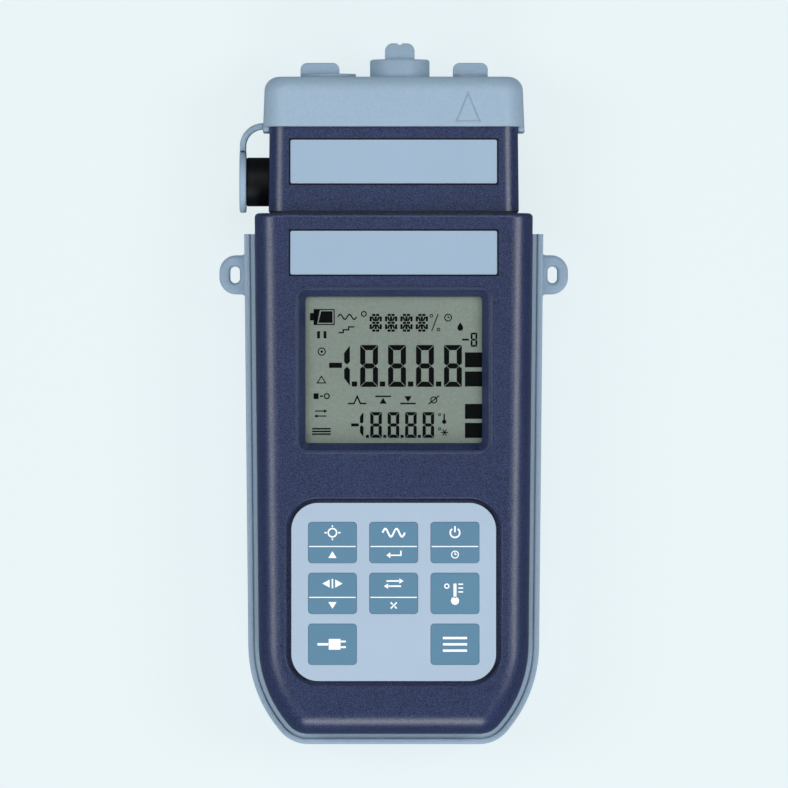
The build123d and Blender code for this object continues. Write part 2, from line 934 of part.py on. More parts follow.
# Flat gasket between the head's shoulder and the top of the case
with BuildPart() as head_gasket:
    add(
        neck_form(
            head_gasket_setback,
            y_case_top + thin_gap,
            y_shoulder - thin_gap,
            head_round - head_gasket_setback,
        )
    )
    add(
        neck_form(
            neck_step - seat, y_case_top - overrun, y_shoulder + overrun, head_round - neck_step
        ),
        mode=Mode.SUBTRACT,
    )
finish(head_gasket.part, "head_gasket")


# Bare name plates of the head and of the body
plates = {
    "head_label": (y_head_plate, z_head_front),
    "body_label": (y_body_plate, z_front),
}
for plate_name, (y_plate, z_face) in plates.items():
    with BuildPart() as plate:
        with BuildSketch(Plane.XY.offset(z_face - plate_recess)):
            with Locations((0, y_plate)):
                RectangleRounded(plate_width, plate_height, plate_corner)
        extrude(amount=plate_thickness)
    finish(plate.part, plate_name)


# Clear window glued behind the display opening
with BuildPart() as display_window:
    with BuildSketch(Plane.XY.offset(z_window_back)):
        with Locations((0, y_view)):
            RectangleRounded(
                view_width + 2 * window_lap, view_height + 2 * window_lap, window_corner
            )
    extrude(amount=window_thickness)
finish(display_window.part, "display_window")


# Liquid crystal cell, its frame and the rubber connectors that press on the board
with BuildPart() as lcd_panel:
    with BuildSketch(Plane.XY.offset(z_lcd_back)):
        with Locations((0, y_view)):
            Rectangle(lcd_width, lcd_height)
    extrude(amount=lcd_thickness)
    ledge = lcd_panel.faces().sort_by(Axis.Z)[-1].edges().sort_by(Axis.Y)[0]
    chamfer(ledge, lcd_ledge)
finish(lcd_panel.part, "lcd_panel")

with BuildPart() as lcd_frame:
    with BuildSketch(Plane.XY.offset(z_board_top)):
        with Locations((0, y_view)):
            RectangleRounded(lcd_frame_width, lcd_frame_height, lcd_frame_corner)
            Rectangle(lcd_width + 2 * seat, lcd_height + 2 * seat, mode=Mode.SUBTRACT)
    extrude(amount=z_lcd_top - z_board_top)
    with BuildSketch(Plane.XY.offset(z_lcd_top)):
        with Locations((0, y_view)):
            RectangleRounded(lcd_frame_width, lcd_frame_height, lcd_frame_corner)
            Rectangle(
                lcd_width - 2 * lcd_frame_lip,
                lcd_height - 2 * lcd_frame_lip,
                mode=Mode.SUBTRACT,
            )
    extrude(amount=lcd_gap - 2 * thin_gap)
finish(lcd_frame.part, "lcd_frame")

with BuildPart() as zebra_strips:
    y_strip = lcd_height / 2 - zebra_width / 2 - zebra_setback
    with BuildSketch(Plane.XY.offset(z_board_top)):
        with Locations((0, y_view - y_strip), (0, y_view + y_strip)):
            Rectangle(lcd_width - 2 * zebra_end_setback, zebra_width)
    extrude(amount=z_lcd_back - z_board_top)
finish(zebra_strips.part, "zebra_strips")


# Main board, lying behind the display and the keypad
with BuildPart() as main_board:
    with BuildSketch(Plane.XY.offset(z_board_back)):
        with Locations((0, (y_board_top + y_board_foot) / 2)):
            RectangleRounded(board_width, y_board_top - y_board_foot, board_corner)
        with Locations(*board_screw_places()):
            Circle(board_screw_radius + fastener_clearance, mode=Mode.SUBTRACT)
    extrude(amount=board_thickness)
finish(main_board.part, "main_board")

with BuildPart() as board_screws:
    with BuildSketch(Plane.XY.offset(z_board_back)):
        with Locations(*board_screw_places()):
            Circle(board_screw_head)
    extrude(amount=-board_screw_head_height)
    with BuildSketch(Plane.XY.offset(z_board_back)):
        with Locations(*board_screw_places()):
            Circle(board_screw_radius)
    extrude(amount=board_thickness + board_screw_grip)
    with BuildSketch(end_plane(y_socket_board)):
        with Locations(*socket_screw_places()):
            Circle(board_screw_head)
    extrude(amount=board_screw_head_height)
    with BuildSketch(end_plane(y_socket_board)):
        with Locations(*socket_screw_places()):
            Circle(board_screw_radius)
    extrude(amount=-(board_thickness + board_screw_grip))
finish(board_screws.part, "board_screws")


# Parts soldered to the main board: processor, drivers, crystal, capacitors and connectors
with BuildPart() as main_board_parts:
    # Place across, place along, width, length and height of each
    back_parts = {
        "processor": (-12.0, y_view - 4.0, 14.0, 14.0, 1.5),
        "converter": (12.0, y_view + 10.0, 10.0, 7.5, 1.8),
        "amplifier": (12.0, y_view - 4.0, 5.0, 4.0, 1.5),
        "driver": (14.0, y_view - 16.0, 10.0, 5.3, 1.8),
        "crystal": (-24.0, y_view - 6.0, 4.0, 11.0, 3.2),
        "memory": (-14.0, y_view - 20.0, 5.0, 4.0, 1.5),
    }
    for x, y, width, length, height in back_parts.values():
        with BuildSketch(Plane.XY.offset(z_board_back)):
            with Locations((x, y)):
                Rectangle(width, length)
        extrude(amount=-height)
    with BuildSketch(Plane.XY.offset(z_board_back)):
        y_capacitor = y_view - capacitor_drop
        with Locations((capacitor_x, y_capacitor), (capacitor_x, y_capacitor - capacitor_pitch)):
            Circle(capacitor_radius)
    extrude(amount=-capacitor_height)
    y_header = y_board_top - header_setback
    with BuildSketch(Plane.XY.offset(z_board_back)):
        with Locations((0, y_header)):
            Rectangle(header_width, header_length)
    extrude(amount=-header_height)
    with BuildSketch(Plane.XY.offset(z_board_top)):
        with Locations((0, y_tail)):
            Rectangle(tail_socket_width, tail_socket_length)
            Rectangle(
                tail_width + 4 * press_gap, circuit_thickness + 4 * press_gap, mode=Mode.SUBTRACT
            )
    extrude(amount=tail_socket_height)
finish(main_board_parts.part, "main_board_parts")


# Keypad: printed circuit with its tail, spacer, snap domes, overlay and eight keys
with BuildPart() as keypad_circuit:
    with BuildSketch(Plane.XY.offset(z_recess)):
        with Locations((0, y_pad)):
            RectangleRounded(
                overlay_width - 2 * circuit_setback,
                overlay_height - 2 * circuit_setback,
                overlay_corner - circuit_setback,
            )
    extrude(amount=circuit_thickness)
    with BuildSketch(Plane.XY.offset(z_recess + seat)):
        with Locations((0, y_tail)):
            Rectangle(tail_width, circuit_thickness)
    extrude(amount=z_board_top + seat - z_recess)
finish(keypad_circuit.part, "keypad_circuit")

lip_reach = key_lip + key_gap
with BuildPart() as keypad_spacer:
    with BuildSketch(Plane.XY.offset(z_circuit_top)):
        with Locations((0, y_pad)):
            RectangleRounded(
                overlay_width - 2 * circuit_setback,
                overlay_height - 2 * circuit_setback,
                overlay_corner - circuit_setback,
            )
        with Locations(*key_places().values()):
            RectangleRounded(
                key_width + 2 * lip_reach,
                key_height + 2 * lip_reach,
                key_corner + lip_reach,
                mode=Mode.SUBTRACT,
            )
    extrude(amount=spacer_thickness)
finish(keypad_spacer.part, "keypad_spacer")

dome_height = spacer_thickness - key_lip_thickness - dome_gap
with BuildPart() as keypad_domes:
    with Locations(*[(x, y, z_circuit_top) for x, y in key_places().values()]):
        Cone(
            dome_radius,
            dome_crown_radius,
            dome_height,
            align=(Align.CENTER, Align.CENTER, Align.MIN),
        )
finish(keypad_domes.part, "keypad_domes")

with BuildPart() as keypad_overlay:
    with BuildSketch(Plane.XY.offset(z_spacer_top)):
        with Locations((0, y_pad)):
            RectangleRounded(overlay_width, overlay_height, overlay_corner)
        with Locations(*key_places().values()):
            RectangleRounded(
                key_width + 2 * key_gap,
                key_height + 2 * key_gap,
                key_corner + key_gap,
                mode=Mode.SUBTRACT,
            )
    extrude(amount=overlay_thickness)
finish(keypad_overlay.part, "keypad_overlay")

for key_name, place in key_places().items():
    with BuildPart() as key:
        with BuildSketch(Plane.XY.offset(z_spacer_top - key_lip_thickness)):
            with Locations(place):
                RectangleRounded(
                    key_width + 2 * key_lip, key_height + 2 * key_lip, key_corner + key_lip
                )
        extrude(amount=key_lip_thickness - thin_gap)
        with BuildSketch(Plane.XY.offset(z_spacer_top - key_lip_thickness)):
            with Locations(place):
                RectangleRounded(key_width, key_height, key_corner)
        extrude(amount=key_lip_thickness + overlay_thickness + key_proud)
        fillet(key.faces().sort_by(Axis.Z)[-1].edges(), key_proud * 0.9)
    finish(key.part, key_name)


# Rubber cover pulled over the head, open round the three sockets at its top
with BuildPart() as head_cover:
    z_cover_back = z_head_back - cover_front
    z_cover_front = z_head_front + cover_front
    y_skirt = y_cover_mouth - cover_skirt
    half_top = head_high_width / 2 + cover_side
    half_mouth = half_top + cover_flare
    add(
        head_form(
            half_mouth,
            half_top,
            y_skirt,
            y_cover_top,
            z_cover_back,
            z_cover_front,
            cover_round,
            cover_top_round,
        )
    )
    add(
        head_form(
            head_half_width(y_skirt - overrun) + cover_clearance,
            head_half_width(y_head_top) + cover_clearance,
            y_skirt - overrun,
            y_head_top,
            z_head_back - cover_clearance,
            z_head_front + cover_clearance,
            head_round,
            head_end_round,
        ),
        mode=Mode.SUBTRACT,
    )
    # The front edge of the mouth ends a little higher than the skirt at the sides
    with BuildSketch(Plane.XY.offset(z_cover_front - cover_skirt_step)):
        with Locations((0, y_skirt)):
            Rectangle(2 * (half_mouth + overrun), 2 * cover_skirt)
    extrude(amount=cover_skirt_step + overrun, mode=Mode.SUBTRACT)
    with BuildSketch(end_plane(y_cover_top)):
        with Locations((bnc_x, z_ports)):
            Circle(bnc_cap_radius + soft_fit)
        with Locations((din_x, z_ports)):
            Circle(din_bore + soft_fit)
        with Locations((power_x, z_ports)):
            Circle(power_bore + 2 * soft_fit)
    extrude(amount=cover_roof, mode=Mode.SUBTRACT)
    # Triangle pressed into the front
    with BuildSketch(Plane.XY.offset(z_cover_front)):
        with BuildLine():
            Polyline(
                (triangle_x - triangle_width / 2, y_cover_mouth + triangle_foot),
                (triangle_x + triangle_width / 2, y_cover_mouth + triangle_foot),
                (triangle_x, y_cover_top - triangle_top_setback),
                close=True,
            )
        make_face()
        offset(amount=-triangle_line, kind=Kind.INTERSECTION, mode=Mode.SUBTRACT)
    extrude(amount=-triangle_depth, mode=Mode.SUBTRACT)
finish(head_cover.part, "head_cover")


# Coaxial socket: shell with bayonet studs, insulator, contact, nut and washer
y_bnc_panel = y_head_top - bnc_well_depth
y_bnc_shoulder = y_bnc_panel + bnc_flange_thickness
y_bnc_tip = y_bnc_shoulder + bnc_barrel_length
y_bnc_tail = y_roof_inside - bnc_thread_length
with BuildPart() as bnc_shell:
    with BuildSketch(end_plane(y_bnc_panel)):
        with Locations((bnc_x, z_ports)):
            Circle(bnc_flange_radius)
    extrude(amount=-bnc_flange_thickness)
    with BuildSketch(end_plane(y_bnc_tip)):
        with Locations((bnc_x, z_ports)):
            Circle(bnc_barrel_radius)
    extrude(amount=bnc_barrel_length)
    with BuildSketch(end_plane(y_bnc_panel)):
        with Locations((bnc_x, z_ports)):
            Circle(bnc_thread_radius)
    extrude(amount=y_bnc_panel - y_bnc_tail)
    with BuildSketch(Plane.XY.offset(z_ports - bnc_stud_span / 2)):
        with Locations((bnc_x, y_bnc_tip - bnc_stud_setback)):
            Circle(bnc_stud_radius)
    extrude(amount=bnc_stud_span)
    with BuildSketch(end_plane(y_bnc_tip)):
        with Locations((bnc_x, z_ports)):
            Circle(bnc_barrel_bore)
    extrude(amount=y_bnc_tip - y_bnc_tail, mode=Mode.SUBTRACT)
finish(bnc_shell.part, "bnc_shell")

y_bnc_face = y_bnc_panel + bnc_face_rise
y_bnc_nose = y_bnc_tip - bnc_nose_setback
with BuildPart() as bnc_insulator:
    with BuildSketch(end_plane(y_bnc_face)):
        with Locations((bnc_x, z_ports)):
            Circle(bnc_barrel_bore - press_gap)
    extrude(amount=y_bnc_face - y_bnc_tail)
    with BuildSketch(end_plane(y_bnc_nose)):
        with Locations((bnc_x, z_ports)):
            Circle(bnc_nose_radius)
    extrude(amount=y_bnc_nose - y_bnc_face)
    with BuildSketch(end_plane(y_bnc_nose)):
        with Locations((bnc_x, z_ports)):
            Circle(bnc_pin_radius + press_gap)
    extrude(amount=y_bnc_nose - y_bnc_tail, mode=Mode.SUBTRACT)
finish(bnc_insulator.part, "bnc_insulator")

with BuildPart() as bnc_contact:
    with BuildSketch(end_plane(y_bnc_nose)):
        with Locations((bnc_x, z_ports)):
            Circle(bnc_pin_radius)
    extrude(amount=y_bnc_nose - y_board_face - seat)
    with BuildSketch(end_plane(y_bnc_nose)):
        with Locations((bnc_x, z_ports)):
            Circle(bnc_pin_bore)
    extrude(amount=bnc_pin_bore_depth, mode=Mode.SUBTRACT)
finish(bnc_contact.part, "bnc_contact")

with BuildPart() as bnc_washer:
    with BuildSketch(end_plane(y_roof_inside)):
        with Locations((bnc_x, z_ports)):
            Circle(bnc_nut_radius)
            Circle(bnc_thread_radius + press_gap, mode=Mode.SUBTRACT)
    extrude(amount=bnc_washer_thickness)
finish(bnc_washer.part, "bnc_washer")

with BuildPart() as bnc_nut:
    with BuildSketch(end_plane(y_roof_inside - bnc_washer_thickness)):
        with Locations((bnc_x, z_ports)):
            RegularPolygon(bnc_nut_radius, 6)
            Circle(bnc_thread_radius + press_gap, mode=Mode.SUBTRACT)
    extrude(amount=bnc_nut_thickness)
finish(bnc_nut.part, "bnc_nut")


# Round eight-pole socket: metal shell, insert and contacts
y_din_back = y_head_top - din_length
y_din_face = y_head_top - din_mouth_depth
din_points = [
    (din_x + x, z_ports + z) for x, z in contact_circle(din_contact_circle, din_contact_count)
] + [(din_x, z_ports)]
with BuildPart() as din_shell:
    with BuildSketch(end_plane(y_head_top - seat)):
        with Locations((din_x, z_ports)):
            Circle(din_shell_radius)
    extrude(amount=din_length)
    with BuildSketch(end_plane(y_roof_inside)):
        with Locations((din_x, z_ports)):
            Circle(din_flange_radius)
    extrude(amount=din_flange_thickness)
    with BuildSketch(end_plane(y_head_top)):
        with Locations((din_x, z_ports)):
            Circle(din_bore)
    extrude(amount=din_mouth_depth - insert_setback, mode=Mode.SUBTRACT)
    with BuildSketch(end_plane(y_head_top)):
        with Locations((din_x, z_ports)):
            Circle(din_entry_radius)
    extrude(amount=din_entry_depth, mode=Mode.SUBTRACT)
    with BuildSketch(end_plane(y_din_face + insert_setback)):
        with Locations((din_x, z_ports)):
            Circle(din_insert_radius + press_gap)
    extrude(amount=din_length, mode=Mode.SUBTRACT)
finish(din_shell.part, "din_shell")

with BuildPart() as din_insert:
    with BuildSketch(end_plane(y_din_face)):
        with Locations((din_x, z_ports)):
            Circle(din_insert_radius)
        with Locations(*din_points):
            Circle(din_contact_radius + press_gap, mode=Mode.SUBTRACT)
    extrude(amount=y_din_face - y_din_back)
finish(din_insert.part, "din_insert")

with BuildPart() as din_contacts:
    y_contact = y_din_face - din_contact_setback
    with BuildSketch(end_plane(y_contact)):
        with Locations(*din_points):
            Circle(din_contact_radius)
    extrude(amount=y_contact - y_board_face - seat)
    with BuildSketch(end_plane(y_contact)):
        with Locations(*din_points):
            Circle(din_contact_bore)
    extrude(amount=din_contact_bore_depth, mode=Mode.SUBTRACT)
finish(din_contacts.part, "din_contacts")


# Power socket with its centre pin
y_power_floor = y_head_top - power_bore_depth
with BuildPart() as power_jack:
    with BuildSketch(end_plane(y_head_top - seat)):
        with Locations((power_x, z_ports)):
            Circle(power_nose_radius)
    extrude(amount=head_roof)
    with BuildSketch(end_plane(y_roof_inside - seat)):
        with Locations((power_x, z_ports)):
            Rectangle(power_body_width, power_body_height)
    extrude(amount=y_roof_inside - y_board_face - 2 * seat)
    with BuildSketch(end_plane(y_head_top)):
        with Locations((power_x, z_ports)):
            Circle(power_bore)
    extrude(amount=power_bore_depth, mode=Mode.SUBTRACT)
    with BuildSketch(end_plane(y_power_floor)):
        with Locations((power_x, z_ports)):
            Circle(power_pin_radius + press_gap)
    extrude(amount=power_pin_foot + press_gap, mode=Mode.SUBTRACT)
finish(power_jack.part, "power_jack")

with BuildPart() as power_jack_pin:
    y_pin_tip = y_head_top - power_pin_setback
    with BuildSketch(end_plane(y_pin_tip)):
        with Locations((power_x, z_ports)):
            Circle(power_pin_radius)
    extrude(amount=y_pin_tip - y_power_floor + power_pin_foot)
    fillet(power_jack_pin.faces().sort_by(Axis.Y)[-1].edges(), power_pin_radius * 0.6)
finish(power_jack_pin.part, "power_jack_pin")


# Board that the sockets are soldered to, standing across the head
with BuildPart() as socket_board:
    with BuildSketch(end_plane(y_board_face)):
        with Locations((0, z_ports)):
            RectangleRounded(socket_board_width, socket_board_height, socket_board_corner)
        with Locations(*socket_screw_places()):
            Circle(board_screw_radius + fastener_clearance, mode=Mode.SUBTRACT)
    extrude(amount=board_thickness)
finish(socket_board.part, "socket_board")


# Serial socket on the left side: collar, insert and contacts
x_collar_mouth = -head_low_width / 2 - serial_reach
x_head_inside = -head_low_width / 2 + head_wall + head_taper_room
x_serial_face = x_collar_mouth + serial_mouth_depth
x_serial_back = x_head_inside + serial_flange_thickness + serial_back
serial_points = [
    (y_serial + y, z_ports + z)
    for y, z in contact_circle(serial_contact_circle, serial_contact_count)
]
with BuildPart() as serial_collar:
    with BuildSketch(side_plane(x_collar_mouth)):
        with Locations((y_serial, z_ports)):
            Circle(serial_collar_radius)
    extrude(amount=x_serial_back - x_collar_mouth)
    with BuildSketch(side_plane(x_head_inside + seat)):
        with Locations((y_serial, z_ports)):
            Circle(serial_flange_radius)
    extrude(amount=serial_flange_thickness)
    with BuildSketch(side_plane(x_collar_mouth)):
        with Locations((y_serial, z_ports)):
            Circle(serial_bore)
    extrude(amount=serial_mouth_depth - insert_setback, mode=Mode.SUBTRACT)
    with BuildSketch(side_plane(x_collar_mouth)):
        with Locations((y_serial, z_ports)):
            Circle(serial_entry_radius)
    extrude(amount=serial_entry_depth, mode=Mode.SUBTRACT)
    with BuildSketch(side_plane(x_serial_face - insert_setback)):
        with Locations((y_serial, z_ports)):
            Circle(serial_insert_radius + press_gap)
    extrude(amount=x_serial_back - x_serial_face + insert_setback, mode=Mode.SUBTRACT)
    chamfer(serial_collar.faces().sort_by(Axis.X)[0].edges(), serial_mouth_chamfer)
finish(serial_collar.part, "serial_collar")

with BuildPart() as serial_insert:
    with BuildSketch(side_plane(x_serial_face)):
        with Locations((y_serial, z_ports)):
            Circle(serial_insert_radius)
        with Locations(*serial_points):
            Circle(serial_contact_radius + press_gap, mode=Mode.SUBTRACT)
    extrude(amount=x_serial_back - x_serial_face)
finish(serial_insert.part, "serial_insert")

with BuildPart() as serial_contacts:
    x_contact = x_serial_face + 2 * press_gap
    with BuildSketch(side_plane(x_contact)):
        with Locations(*serial_points):
            Circle(serial_contact_radius)
    extrude(amount=x_serial_back - x_contact + serial_contact_tail)
finish(serial_contacts.part, "serial_contacts")

# Ribbon from the serial contacts to the socket board
x_leads = x_serial_back + serial_contact_tail + seat
with BuildPart() as serial_leads:
    with BuildSketch(Plane.XY.offset(z_ports - serial_lead_width / 2)):
        with BuildLine():
            FilletPolyline(
                (x_leads, y_serial),
                (x_leads + serial_lead_run, y_serial),
                (x_leads + serial_lead_run, y_socket_board - seat),
                radius=serial_lead_bend,
            )
        trace(line_width=cable_thickness)
    extrude(amount=serial_lead_width)
finish(serial_leads.part, "serial_leads")

# Ribbon from the socket board through the neck to the header on the main board
z_cable = z_head_back + cable_rise
z_header = z_board_back - header_height / 2
y_header_side = y_header + header_length / 2 + seat
with BuildPart() as head_cable:
    with BuildSketch(side_plane(-cable_width / 2)):
        with BuildLine():
            FilletPolyline(
                (y_socket_board - seat, z_cable),
                (y_case_top - cable_neck_run, z_cable),
                (y_header_side + cable_run, z_header),
                (y_header_side, z_header),
                radius=[cable_bend, cable_bend],
            )
        trace(line_width=cable_thickness)
    extrude(amount=cable_width)
finish(head_cable.part, "head_cable")


def tab_outline(width, height, corner, x, y_foot, notch):
    """A finger tab seen from the front, rounded at its top, with a small dip in the middle."""
    with BuildSketch() as outline:
        with Locations((x, y_foot + height / 2)):
            Rectangle(width, height)
        fillet(outline.vertices().group_by(Axis.Y)[-1], corner)
        if notch:
            with Locations((x, y_foot + height + notch)):
                Circle(2 * notch, mode=Mode.SUBTRACT)
    return outline.sketch


# Tall cap over the coaxial socket
y_cap_foot = y_bnc_panel + bnc_cap_foot_gap
with BuildPart() as bnc_cap:
    with BuildSketch(end_plane(y_cap_top)):
        with Locations((bnc_x, z_ports)):
            Circle(bnc_cap_radius)
    extrude(amount=y_cap_top - y_cap_foot)
    fillet(bnc_cap.faces().sort_by(Axis.Y)[-1].edges(), bnc_cap_round)
    with BuildSketch(end_plane(y_bnc_tip + soft_fit)):
        with Locations((bnc_x, z_ports)):
            Circle(bnc_cap_bore)
    extrude(amount=y_bnc_tip + soft_fit - y_cap_foot, mode=Mode.SUBTRACT)
    with BuildSketch(end_plane(y_bnc_shoulder + soft_fit)):
        with Locations((bnc_x, z_ports)):
            Circle(bnc_flange_radius + soft_fit)
    extrude(amount=y_bnc_shoulder + soft_fit - y_cap_foot, mode=Mode.SUBTRACT)
    with BuildSketch(Plane.XY.offset(z_ports - bnc_tab_thickness / 2)):
        add(
            tab_outline(
                bnc_tab_width,
                bnc_tab_height + seat,
                bnc_tab_round,
                bnc_x,
                y_cap_top - seat,
                bnc_tab_notch,
            )
        )
    extrude(amount=bnc_tab_thickness)
finish(bnc_cap.part, "bnc_cap")


# Plug of the round socket: disc, stem and finger tab
y_plug_seat = y_cover_top + seat
with BuildPart() as temperature_plug:
    with BuildSketch(end_plane(y_plug_seat)):
        with Locations((din_x, z_ports)):
            Circle(temperature_disc_radius)
    extrude(amount=-temperature_disc_thickness)
    with BuildSketch(end_plane(y_plug_seat)):
        with Locations((din_x, z_ports)):
            Circle(din_bore - soft_fit)
            Circle(din_bore - soft_fit - temperature_stem_wall, mode=Mode.SUBTRACT)
    extrude(amount=temperature_stem_depth)
    with BuildSketch(Plane.XY.offset(z_ports - plug_tab_thickness / 2)):
        add(
            tab_outline(
                temperature_tab_width,
                temperature_tab_height - seat,
                plug_tab_round,
                din_x + temperature_tab_shift,
                y_plug_seat,
                0,
            )
        )
    extrude(amount=plug_tab_thickness)
finish(temperature_plug.part, "temperature_plug")


# Plug of the power socket
with BuildPart() as power_plug:
    with BuildSketch(end_plane(y_plug_seat)):
        with Locations((power_x, z_ports)):
            Circle(power_tab_width / 2)
    extrude(amount=-power_foot_thickness)
    with BuildSketch(end_plane(y_plug_seat)):
        with Locations((power_x, z_ports)):
            Circle(power_stem_radius)
            Circle(power_stem_bore, mode=Mode.SUBTRACT)
    extrude(amount=power_stem_depth)
    with BuildSketch(Plane.XY.offset(z_ports - plug_tab_thickness / 2)):
        add(
            tab_outline(
                power_tab_width,
                power_tab_height - seat,
                plug_tab_round,
                power_x,
                y_plug_seat,
                0,
            )
        )
    extrude(amount=plug_tab_thickness)
finish(power_plug.part, "power_plug")


# Plug of the serial socket, a disc with a stub, and the strap that ties it to the cover
x_disc = x_collar_mouth - seat - serial_disc_thickness
with BuildPart() as serial_plug:
    with BuildSketch(side_plane(x_disc)):
        with Locations((y_serial, z_ports)):
            Circle(serial_disc_radius)
    extrude(amount=serial_disc_thickness)
    fillet(serial_plug.edges(), serial_disc_round)
    with BuildSketch(side_plane(x_disc + serial_disc_thickness)):
        with Locations((y_serial, z_ports)):
            Circle(serial_bore - soft_fit)
            Circle(serial_bore - soft_fit - serial_stub_wall, mode=Mode.SUBTRACT)
    extrude(amount=serial_stub_depth)
finish(serial_plug.part, "serial_plug")

y_strap = y_cover_mouth + strap_drop
x_strap = x_disc + serial_disc_thickness / 2
x_strap_root = -half_mouth - seat
with BuildPart() as plug_strap:
    with BuildSketch(Plane.XY.offset(z_ports - strap_width / 2)):
        with BuildLine():
            FilletPolyline(
                (x_strap_root, y_strap),
                (x_strap, y_strap),
                (x_strap, y_serial + serial_disc_radius + 2 * press_gap),
                radius=strap_bend * (x_strap_root - x_strap),
            )
        trace(line_width=strap_thickness)
    extrude(amount=strap_width)
finish(plug_strap.part, "plug_strap")


def boot_side_x(y):
    """Where the boot's outer side is at y: the sides of the case lean a little."""
    share = (y_case_top - y) / (case_length - case_hip_height)
    return (case_top_width + (case_hip_width - case_top_width) * share) / 2 + boot_side


def strap_loop(side):
    """One strap loop of the boot, seen from the front, with its root flared into the side."""
    x_side = boot_side_x(y_ear)
    x_root = x_side - boot_side / 2
    x_tip = x_side + ear_reach
    with BuildSketch() as loop:
        with Locations((side * (x_root + x_tip) / 2, y_ear)):
            Rectangle(x_tip - x_root, ear_length)
        outer = loop.vertices().filter_by(lambda corner: abs(corner.X) > x_side)
        fillet(outer, ear_round)
        x_flare = x_side - 2 * press_gap
        with Locations((side * (x_root + x_flare) / 2, y_ear)):
            Rectangle(x_flare - x_root, ear_length + 3 * ear_root_round)
        roots = loop.vertices().filter_by(
            lambda corner: abs(abs(corner.X) - x_flare) < 0.01
            and abs(abs(corner.Y - y_ear) - ear_length / 2) < 0.01
        )
        fillet(roots, ear_root_round)
        with Locations((side * (x_side + ear_slot_offset), y_ear)):
            SlotOverall(ear_slot_length, ear_slot_width, rotation=90, mode=Mode.SUBTRACT)
    return loop.sketch


# Rubber boot: tray with a beaded rim, strap loops and a window for the battery cover
with BuildPart() as protective_boot:
    with BuildSketch():
        add(case_outline(boot_side))
    extrude(amount=boot_height - boot_bead_height)
    base = protective_boot.edges().group_by(Axis.Z)[0]
    fillet(base.filter_by(lambda edge: edge.center().Y < y_case_top), boot_back_round)
    with BuildSketch(Plane.XY.offset(boot_height - boot_bead_height)):
        add(case_outline(boot_side))
        add(case_outline(boot_side - boot_bead_width), mode=Mode.SUBTRACT)
    extrude(amount=boot_bead_height)
    crest = protective_boot.edges().group_by(Axis.Z)[-1]
    fillet(crest.filter_by(lambda edge: edge.center().Y < y_case_top), boot_bead_round)
    with BuildSketch(Plane.XY.offset(-overrun)):
        with Locations((0, y_boot_top + case_length / 2)):
            Rectangle(2 * case_top_width, case_length)
    extrude(amount=boot_height + 2 * overrun, mode=Mode.SUBTRACT)
    add(case_form(boot_gap, z_back, z_front, 0, case_back_round), mode=Mode.SUBTRACT)
    with BuildSketch():
        with Locations((0, y_battery_cover)):
            RectangleRounded(
                battery_cover_width + 2 * boot_window_gap,
                battery_cover_length + 2 * boot_window_gap,
                cover_corner + boot_window_gap,
            )
    extrude(amount=boot_back + overrun, mode=Mode.SUBTRACT)
    with BuildSketch(Plane.XY.offset(ear_height)):
        add(strap_loop(-1))
        add(strap_loop(1))
    extrude(amount=ear_thickness)
    z_ear = ear_height + ear_thickness / 2
    rims = protective_boot.edges().filter_by(
        lambda edge: abs(edge.center().X) > boot_side_x(y_ear) + soft_fit
        and abs(edge.tangent_at(0.5).Z) < 0.1
        and abs(edge.center().Z - z_ear) < ear_thickness / 2 + 0.1
    )
    fillet(rims, ear_edge_round)
finish(protective_boot.part, "protective_boot")


# Four cells side by side, every other one the other way round
for number, (x, way) in enumerate(cell_places(), start=1):
    y_plain = y_bay + way * (bay_length / 2 - contact_thickness - spring_depth - cell_gap / 2)
    with BuildPart() as cell:
        with BuildSketch(end_plane(y_plain)):
            with Locations((x, z_cell)):
                Circle(cell_radius)
        extrude(amount=way * (cell_length - cell_nub_length))
        fillet(cell.edges(), cell_round)
        with BuildSketch(end_plane(y_plain)):
            with Locations((x, z_cell)):
                Circle(cell_nub_radius)
        extrude(amount=way * cell_length)
    finish(cell.part, f"battery_{number}")


# Bent springs at the cells' plain ends
with BuildPart() as battery_springs:
    for x, way in cell_places():
        y_wall = y_bay + way * (bay_length / 2 - thin_gap)
        y_crest = y_wall - way * (spring_depth + contact_thickness - 2 * cell_gap)
        half = contact_width / 2 - spring_inset
        with BuildSketch(Plane.XY.offset(z_cell - spring_width / 2)):
            with BuildLine():
                ThreePointArc(
                    (x - half, y_wall - way * contact_thickness),
                    (x, y_crest),
                    (x + half, y_wall - way * contact_thickness),
                )
            trace(line_width=spring_thickness)
            with Locations((x, y_wall - way * contact_thickness / 2)):
                Rectangle(contact_width, contact_thickness)
        extrude(amount=spring_width)
finish(battery_springs.part, "battery_springs")


# Contact plates at the cells' button ends, and two plates that lead up to the board
with BuildPart() as battery_plates:
    for x, way in cell_places():
        y_wall = y_bay - way * (bay_length / 2 - thin_gap)
        with BuildSketch(Plane.XZ.offset(-y_wall)):
            with Locations((x, z_cell)):
                Rectangle(contact_width, contact_width)
        extrude(amount=-way * contact_thickness)
    for x in (cell_places()[0][0], cell_places()[-1][0]):
        y_lead = y_bay_top - contact_thickness - thin_gap
        with BuildSketch(Plane.XY.offset(z_cell + contact_width / 2 - seat)):
            with Locations((x, y_lead + contact_thickness / 2)):
                Rectangle(lead_width, contact_thickness)
        extrude(amount=z_board_back - z_cell - contact_width / 2)
finish(battery_plates.part, "battery_plates")


# Gasket of the battery bay
with BuildPart() as battery_gasket:
    outside = 2 * (gasket_setback + gasket_width - press_gap)
    inside = 2 * (gasket_setback + press_gap)
    with BuildSketch(Plane.XY.offset(z_back + cover_thickness + thin_gap)):
        with Locations((0, y_bay)):
            Rectangle(bay_width + outside, bay_length + outside)
            Rectangle(bay_width + inside, bay_length + inside, mode=Mode.SUBTRACT)
    extrude(amount=gasket_depth)
finish(battery_gasket.part, "battery_gasket")


